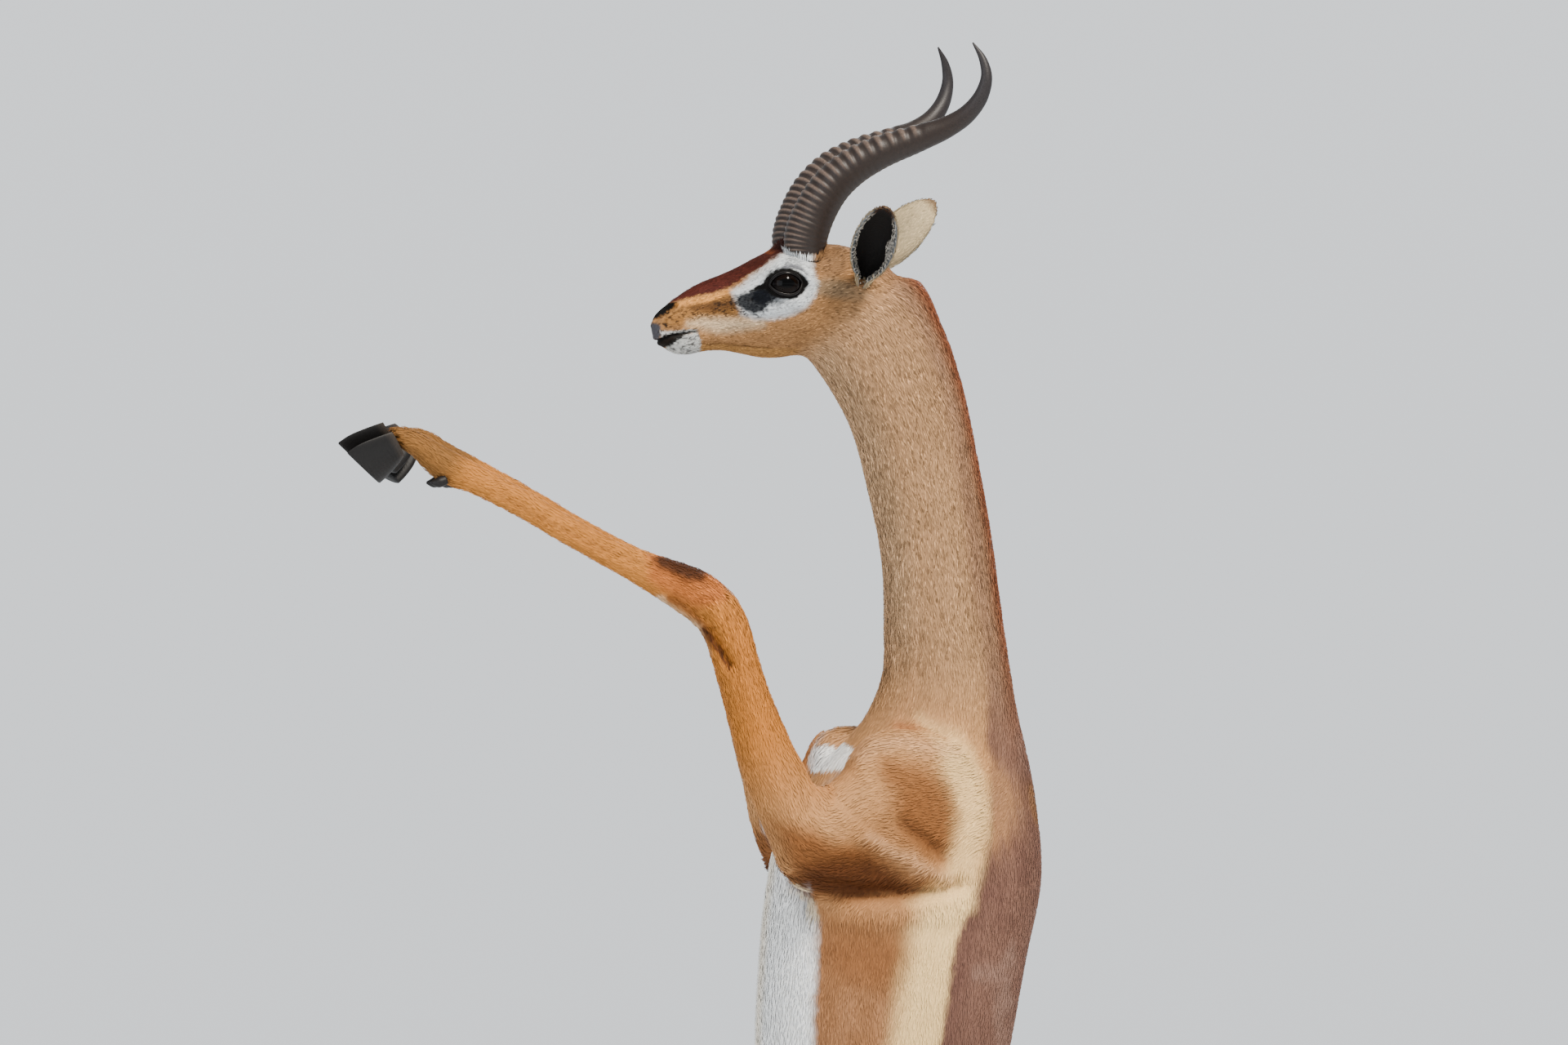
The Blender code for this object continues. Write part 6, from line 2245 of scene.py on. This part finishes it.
@dataclass
class Foot:
    """The two claws of one foot and the false hooves behind its fetlock."""

    side: Side
    fore: bool
    stations: Array
    rows: int = 40
    around: int = 48
    point: float = 0.25
    inner_share: float = 0.70
    offset: float = 0.0084
    pitch: float = math.radians(40)
    roll: float = math.radians(40)
    stand_height: float = 0.03
    growth_rings: int = 11

    @property
    def word(self) -> str:
        """The foot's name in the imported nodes' names."""
        return "fore" if self.fore else "hind"

    def frame(self) -> Matrix:
        """Carries the claw's own frame, whose sole is at z = 0, to the end of the leg.

        Returns:
            The matrix.
        """
        x, y, z = middles(self.stations)[-1]
        toe_z, heel_z, toe_x, heel_x, _half = CLAW_LAYERS[-1]
        top = Vector(((toe_x + heel_x) / 2, 0, (toe_z + heel_z) / 2))
        pitch, roll = (self.pitch, -self.side.value * self.roll) if self.fore else (0, 0)
        spin = Matrix.Rotation(roll, 4, Vector((toe_z - heel_z, 0, heel_x - toe_x)).normalized())
        place = Matrix.Translation((x, y * self.side.value, z)) @ Matrix.Rotation(pitch, 4, "Y")
        frame = place @ spin @ Matrix.Translation(-top)
        if not self.fore:
            frame.translation.z = self.stand_height + GAP
        return frame

    def claw(self, inner: int) -> tuple[Array, Array]:
        """One claw as rings from its sole up.

        A ring is an ellipse pinched at the toe by the fourth root of the way from it, flatter on
        its inner side, with shallow growth rings. The lowest rings round the sole's edge.

        Args:
            inner: the side that its flatter face looks to.

        Returns:
            The rings, and each point's share of the claw's height.
        """
        share = np.linspace(0, 1, self.rows)
        layers = smooth_curve(np.linspace(0, 1, len(CLAW_LAYERS)), CLAW_LAYERS, share)
        toe_z, heel_z, toe_x, heel_x, half = layers.T[:, :, None]
        angle = circle(self.around)[None]
        edge = np.sqrt(np.clip(1 - (1 - np.clip(share / 0.05, 0, 1)) ** 2, 0, 1))[:, None] * 0.06 + 0.94
        wave = np.sin(share * 2 * math.pi * self.growth_rings)[:, None]
        grow = 1 + 0.012 * wave * (0.3 + 0.7 * share[:, None])
        x = (heel_x + toe_x) / 2 + (heel_x - toe_x) / 2 * np.cos(angle) * edge
        pointed = np.clip((x - toe_x) / (heel_x - toe_x), 0, 1) ** self.point
        flat = np.where(np.sin(angle) * inner > 0, self.inner_share, 1)
        y = half * grow * np.sin(angle) * flat * pointed * edge
        z = toe_z + (heel_z - toe_z) * (x - toe_x) / (heel_x - toe_x)
        matrix = np.array(self.frame())
        rings = columns(x, y - inner * self.offset, z) @ matrix[:3, :3].T + matrix[:3, 3]
        return rings, share[:, None] * np.ones_like(angle)

    def dewclaws(self) -> list[Array]:
        """Two small false hooves: short tapered tubes behind the fetlock.

        Returns:
            Each one's rings.
        """
        fetlock = len(self.stations) - (4 if self.fore else 3)
        front_x, front_z, back_x, back_z = self.stations[fetlock, :4]
        run = unit(np.array([back_x - front_x, 0, back_z - front_z]))
        here, below = middles(self.stations)[fetlock : fetlock + 2]
        down = unit((below - here) * [1, 0, 1])
        root = np.array([back_x, here[1] * self.side.value, back_z]) - run * 0.006
        made = []
        for away in (-1, 1):
            start = root + [0, away * 0.0085, 0] + down * 0.002
            end = start + run * 0.010 + down * 0.011 + [0, away * 0.001, 0]
            path = np.array([start, (start + end) / 2 + run * 0.0015, end])
            middle, offsets, _, radius = swept(path, (0.0045, 0.0048, 0.0012), np.linspace(0, 1, 14), 18)
            made.append(middle[:, None] + offsets * radius[:, None, None])
        return made

    def build(self) -> None:
        """Builds and dresses the claws, each in its node's place, and the false hooves."""
        for place, inner in (("inner", self.side.value), ("outer", -self.side.value)):
            rings, share = self.claw(inner)
            claw = tube_object(f"{self.word}_claw_{place}_{self.side.word}", rings)
            top = ease(share, 0.78, 1.0)[..., None]
            colours = linear("#100F0F") * (1 - top) + linear("#332C26") * top
            paint_attribute(claw, "hoof", with_poles(colours))
            dress(claw, HOOF, "hoof", f"{self.word}_hoof_{place}_{self.side.word}")
        for number, rings in enumerate(self.dewclaws()):
            claw = tube_object(f"{self.word}_dewclaw_{number + 1}_{self.side.word}", rings)
            paint_attribute(claw, "hoof", linear("#171413"))
            dress(claw, HOOF, "hoof")


@dataclass
class TailTuft:
    """The long black hair that hangs from the last half of the tail."""

    form: BodyForm
    count: int = 1500
    longest: float = 0.070
    golden_angle: float = 2.399963

    def build(self) -> None:
        """Roots hair in a spiral round the dock, leaning out at first and hanging down."""
        draw = np.random.default_rng(51)
        rows, knots = self.form.rows()
        share = np.sort(draw.random(self.count)) ** 0.8
        here = smooth_curve(knots, rows, knots[-1] * (0.50 + 0.49 * share))
        angle = np.arange(self.count) * self.golden_angle
        out = columns(np.cos(angle), np.sin(angle), 0)
        flow = unit(np.array([0, 0, -1.0]) + out * draw.uniform(0.02, 0.16, (self.count, 1)))
        length = self.longest * draw.uniform(0.55, 1.0, self.count)
        sizes = columns(length, 0.0016, draw.uniform(0.001, 0.003, self.count))
        colours = linear("#15100D") * (1 + 0.5 * draw.random((self.count, 1)))
        spots = columns(share * 0.9 + 0.05, (angle % (2 * math.pi)) / 7 + 0.05)
        roots = Roots(middles(here) + out * here[:, 4:5] * 0.7, out, spots)
        dress(TUFT.piece("tail_tuft", roots, flow, sizes, colours), HAIR, "tail")


@dataclass
class Stand:
    """The display base: painted wood, faintly uneven, as brushed paint over a board is."""

    colour: str = "#8B867F"
    dark: str = "#7C776F"

    def dress(self) -> None:
        """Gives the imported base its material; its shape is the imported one."""
        material, tree, shader = Finish("matt_painted_wood", 0.55, 0.4).start()
        place = add(tree, "TexCoord").outputs["Object"]
        drawn = add(tree, "Mapping", Vector=place, Scale=(6.0, 90.0, 60.0)).outputs["Vector"]
        grain = add(tree, "TexNoise", Vector=drawn, Scale=1.0, Detail=4.0).outputs[0]
        shades = {"in_6": rgba(self.colour), "in_7": rgba(self.dark)}
        blend = add(tree, "Mix", {"data_type": "RGBA"}, in_0=grain, **shades)
        bump = add(tree, "Bump", Strength=0.3, Distance=0.0004, Height=grain)
        tree.links.new(blend.outputs[2], shader.inputs["Base Color"])
        tree.links.new(bump.outputs[0], shader.inputs["Normal"])
        for slot in frame["nodes"]["stand_base"].material_slots:
            slot.material = material


@dataclass
class Studio:
    """The plain pale floor, the soft light and the camera at the photograph's angle."""

    pale: str = "#EDF1F5"
    floor_radius: float = 14.0
    fade_from: float = 5.0
    target: tuple[float, float, float] = (-0.0942, 0.0253, 1.673)
    azimuth: float = math.radians(15)
    distance: float = 12.0
    seen_width: float = 1.4976
    sensor: float = 36.0
    below: float = 0.18
    above: float = 0.85
    horizon: float = 0.85

    def camera(self) -> None:
        """A level camera turned 15 degrees, whose lens frames 1.4976 m at the animal."""
        data = bpy.data.cameras.new("camera")
        data.sensor_width = self.sensor
        data.sensor_fit = "HORIZONTAL"
        data.lens = self.sensor * self.distance / self.seen_width
        data.clip_end = 200
        camera = linked(bpy.data.objects.new("camera", data))
        ahead = np.array([math.sin(self.azimuth), math.cos(self.azimuth), 0])
        camera.location = np.array(self.target) - ahead * self.distance
        camera.rotation_euler = (math.pi / 2, 0, -self.azimuth)
        bpy.context.scene.camera = camera

    def lamp(self, name: str, place: tuple[float, ...], size: float, power: float, colour: str) -> None:
        """Hangs a square soft light aimed at the animal's shoulder.

        Args:
            name: the light's name.
            place: where it hangs.
            size: how wide it is.
            power: its watts.
            colour: its sRGB hex colour.
        """
        data = bpy.data.lights.new(name, "AREA")
        data.size = size
        data.energy = power
        data.color = linear(colour).tolist()
        lamp = linked(bpy.data.objects.new(name, data))
        lamp.location = place
        lamp.rotation_euler = (Vector((0, 0, 1.45)) - Vector(place)).to_track_quat("-Z", "Y").to_euler()

    def floor(self) -> None:
        """Lays a disc of rings about the origin that fades into the pale surroundings at its rim."""
        radii = np.linspace(0.05, self.floor_radius, 60)[:, None]
        angle = circle(128)[None]
        points, quads, fans = closed(columns(radii * np.cos(angle), radii * np.sin(angle), 0))
        disc = mesh_object("floor", points[:-1], quads, fans[: angle.size, ::-1])
        with edited(disc) as edit:
            for face in edit.faces:
                if face.normal.z < 0:
                    face.normal_flip()
        material, tree, shader = Finish("pale_studio_floor", 0.9, 0.1).start()
        shader.inputs["Base Color"].default_value = rgba(self.pale)
        place = add(tree, "TexCoord").outputs["Object"]
        reach = add(tree, "VectorMath", {"operation": "LENGTH"}, in_0=place).outputs["Value"]
        share = add(
            tree, "MapRange", {"interpolation_type": "SMOOTHSTEP"},
            in_0=reach, in_1=self.fade_from, in_2=self.floor_radius * 0.97, in_3=0.0, in_4=1.0,
        )
        clear = add(tree, "BsdfTransparent")
        mixed = add(tree, "MixShader", in_0=share.outputs[0], in_1=shader.outputs[0], in_2=clear.outputs[0])
        tree.links.new(mixed.outputs[0], tree.nodes["Material Output"].inputs["Surface"])
        disc.data.materials.append(material)

    def air(self) -> None:
        """Hangs pale surroundings: dim below, bright above by a soft step, palest level with the eye."""
        world = bpy.data.worlds.new("studio_air")
        world.use_nodes = True
        tree = world.node_tree
        way = add(tree, "TexCoord").outputs["Generated"]
        height = add(tree, "SeparateXYZ", in_0=way).outputs[2]
        glow = add(
            tree, "MapRange", {"interpolation_type": "SMOOTHSTEP"},
            in_0=height, in_1=-0.7, in_2=0.9, in_3=self.below, in_4=self.above,
        )
        level = add(tree, "Math", {"operation": "ABSOLUTE"}, in_0=height).outputs[0]
        band = add(tree, "MapRange", in_0=level, in_1=0.05, in_2=0.16, in_3=self.horizon, in_4=0.0)
        glow = add(tree, "Math", in_0=glow.outputs[0], in_1=band.outputs[0])
        background = tree.nodes["Background"]
        background.inputs["Color"].default_value = rgba(self.pale)
        tree.links.new(glow.outputs[0], background.inputs["Strength"])
        bpy.context.scene.world = world

    def build(self) -> None:
        """Sets up the camera, lights, surroundings and floor."""
        self.camera()
        self.lamp("key", (1.4, -3.8, 6.2), 1.2, 600, "#FFF6EA")
        self.lamp("fill", (-3.6, -2.6, 2.2), 3.0, 70, "#F4F7FF")
        self.lamp("back", (1.8, 3.4, 3.6), 2.4, 60, "#FFFFFF")
        self.air()
        self.floor()


LEG_PARTS = ("forearm", "fore_cannon", "fore_pastern", "thigh", "shank", "hind_cannon", "hind_pastern")
FLESH = ("torso", "neck", "head", "tail", *(f"{part}_{side.word}" for side in Side for part in LEG_PARTS))


def main() -> None:
    """Builds the studio, the hide, its coat and every separate part."""
    logging.basicConfig(level=logging.INFO, format="%(name)s: %(message)s")
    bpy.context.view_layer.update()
    Studio().build()
    hide = Hide()
    pattern = CoatPattern(hide.forms)
    skin = hide.build()
    points, normals = mesh_points(skin), mesh_normals(skin)
    paint_attribute(skin, "coat", pattern.colours(points))
    lie = skin.data.attributes.new("lie", "FLOAT_VECTOR", "POINT")
    lie.data.foreach_set("vector", pattern.lie(points, normals)[1].astype(np.float32).ravel())
    dress(skin, SKIN, "coat", *FLESH)
    Coat(pattern).build(skin)
    for side in Side:
        Eye(side).build()
        Ear(side).build()
        Horn(side, pattern).build()
        Foot(side, True, foreleg_stations(side)).build()
        Foot(side, False, hindleg_stations(side)).build()
    TailTuft(hide.forms["dock"]).build()
    Stand().dress()


if __name__ == "__main__":
    main()
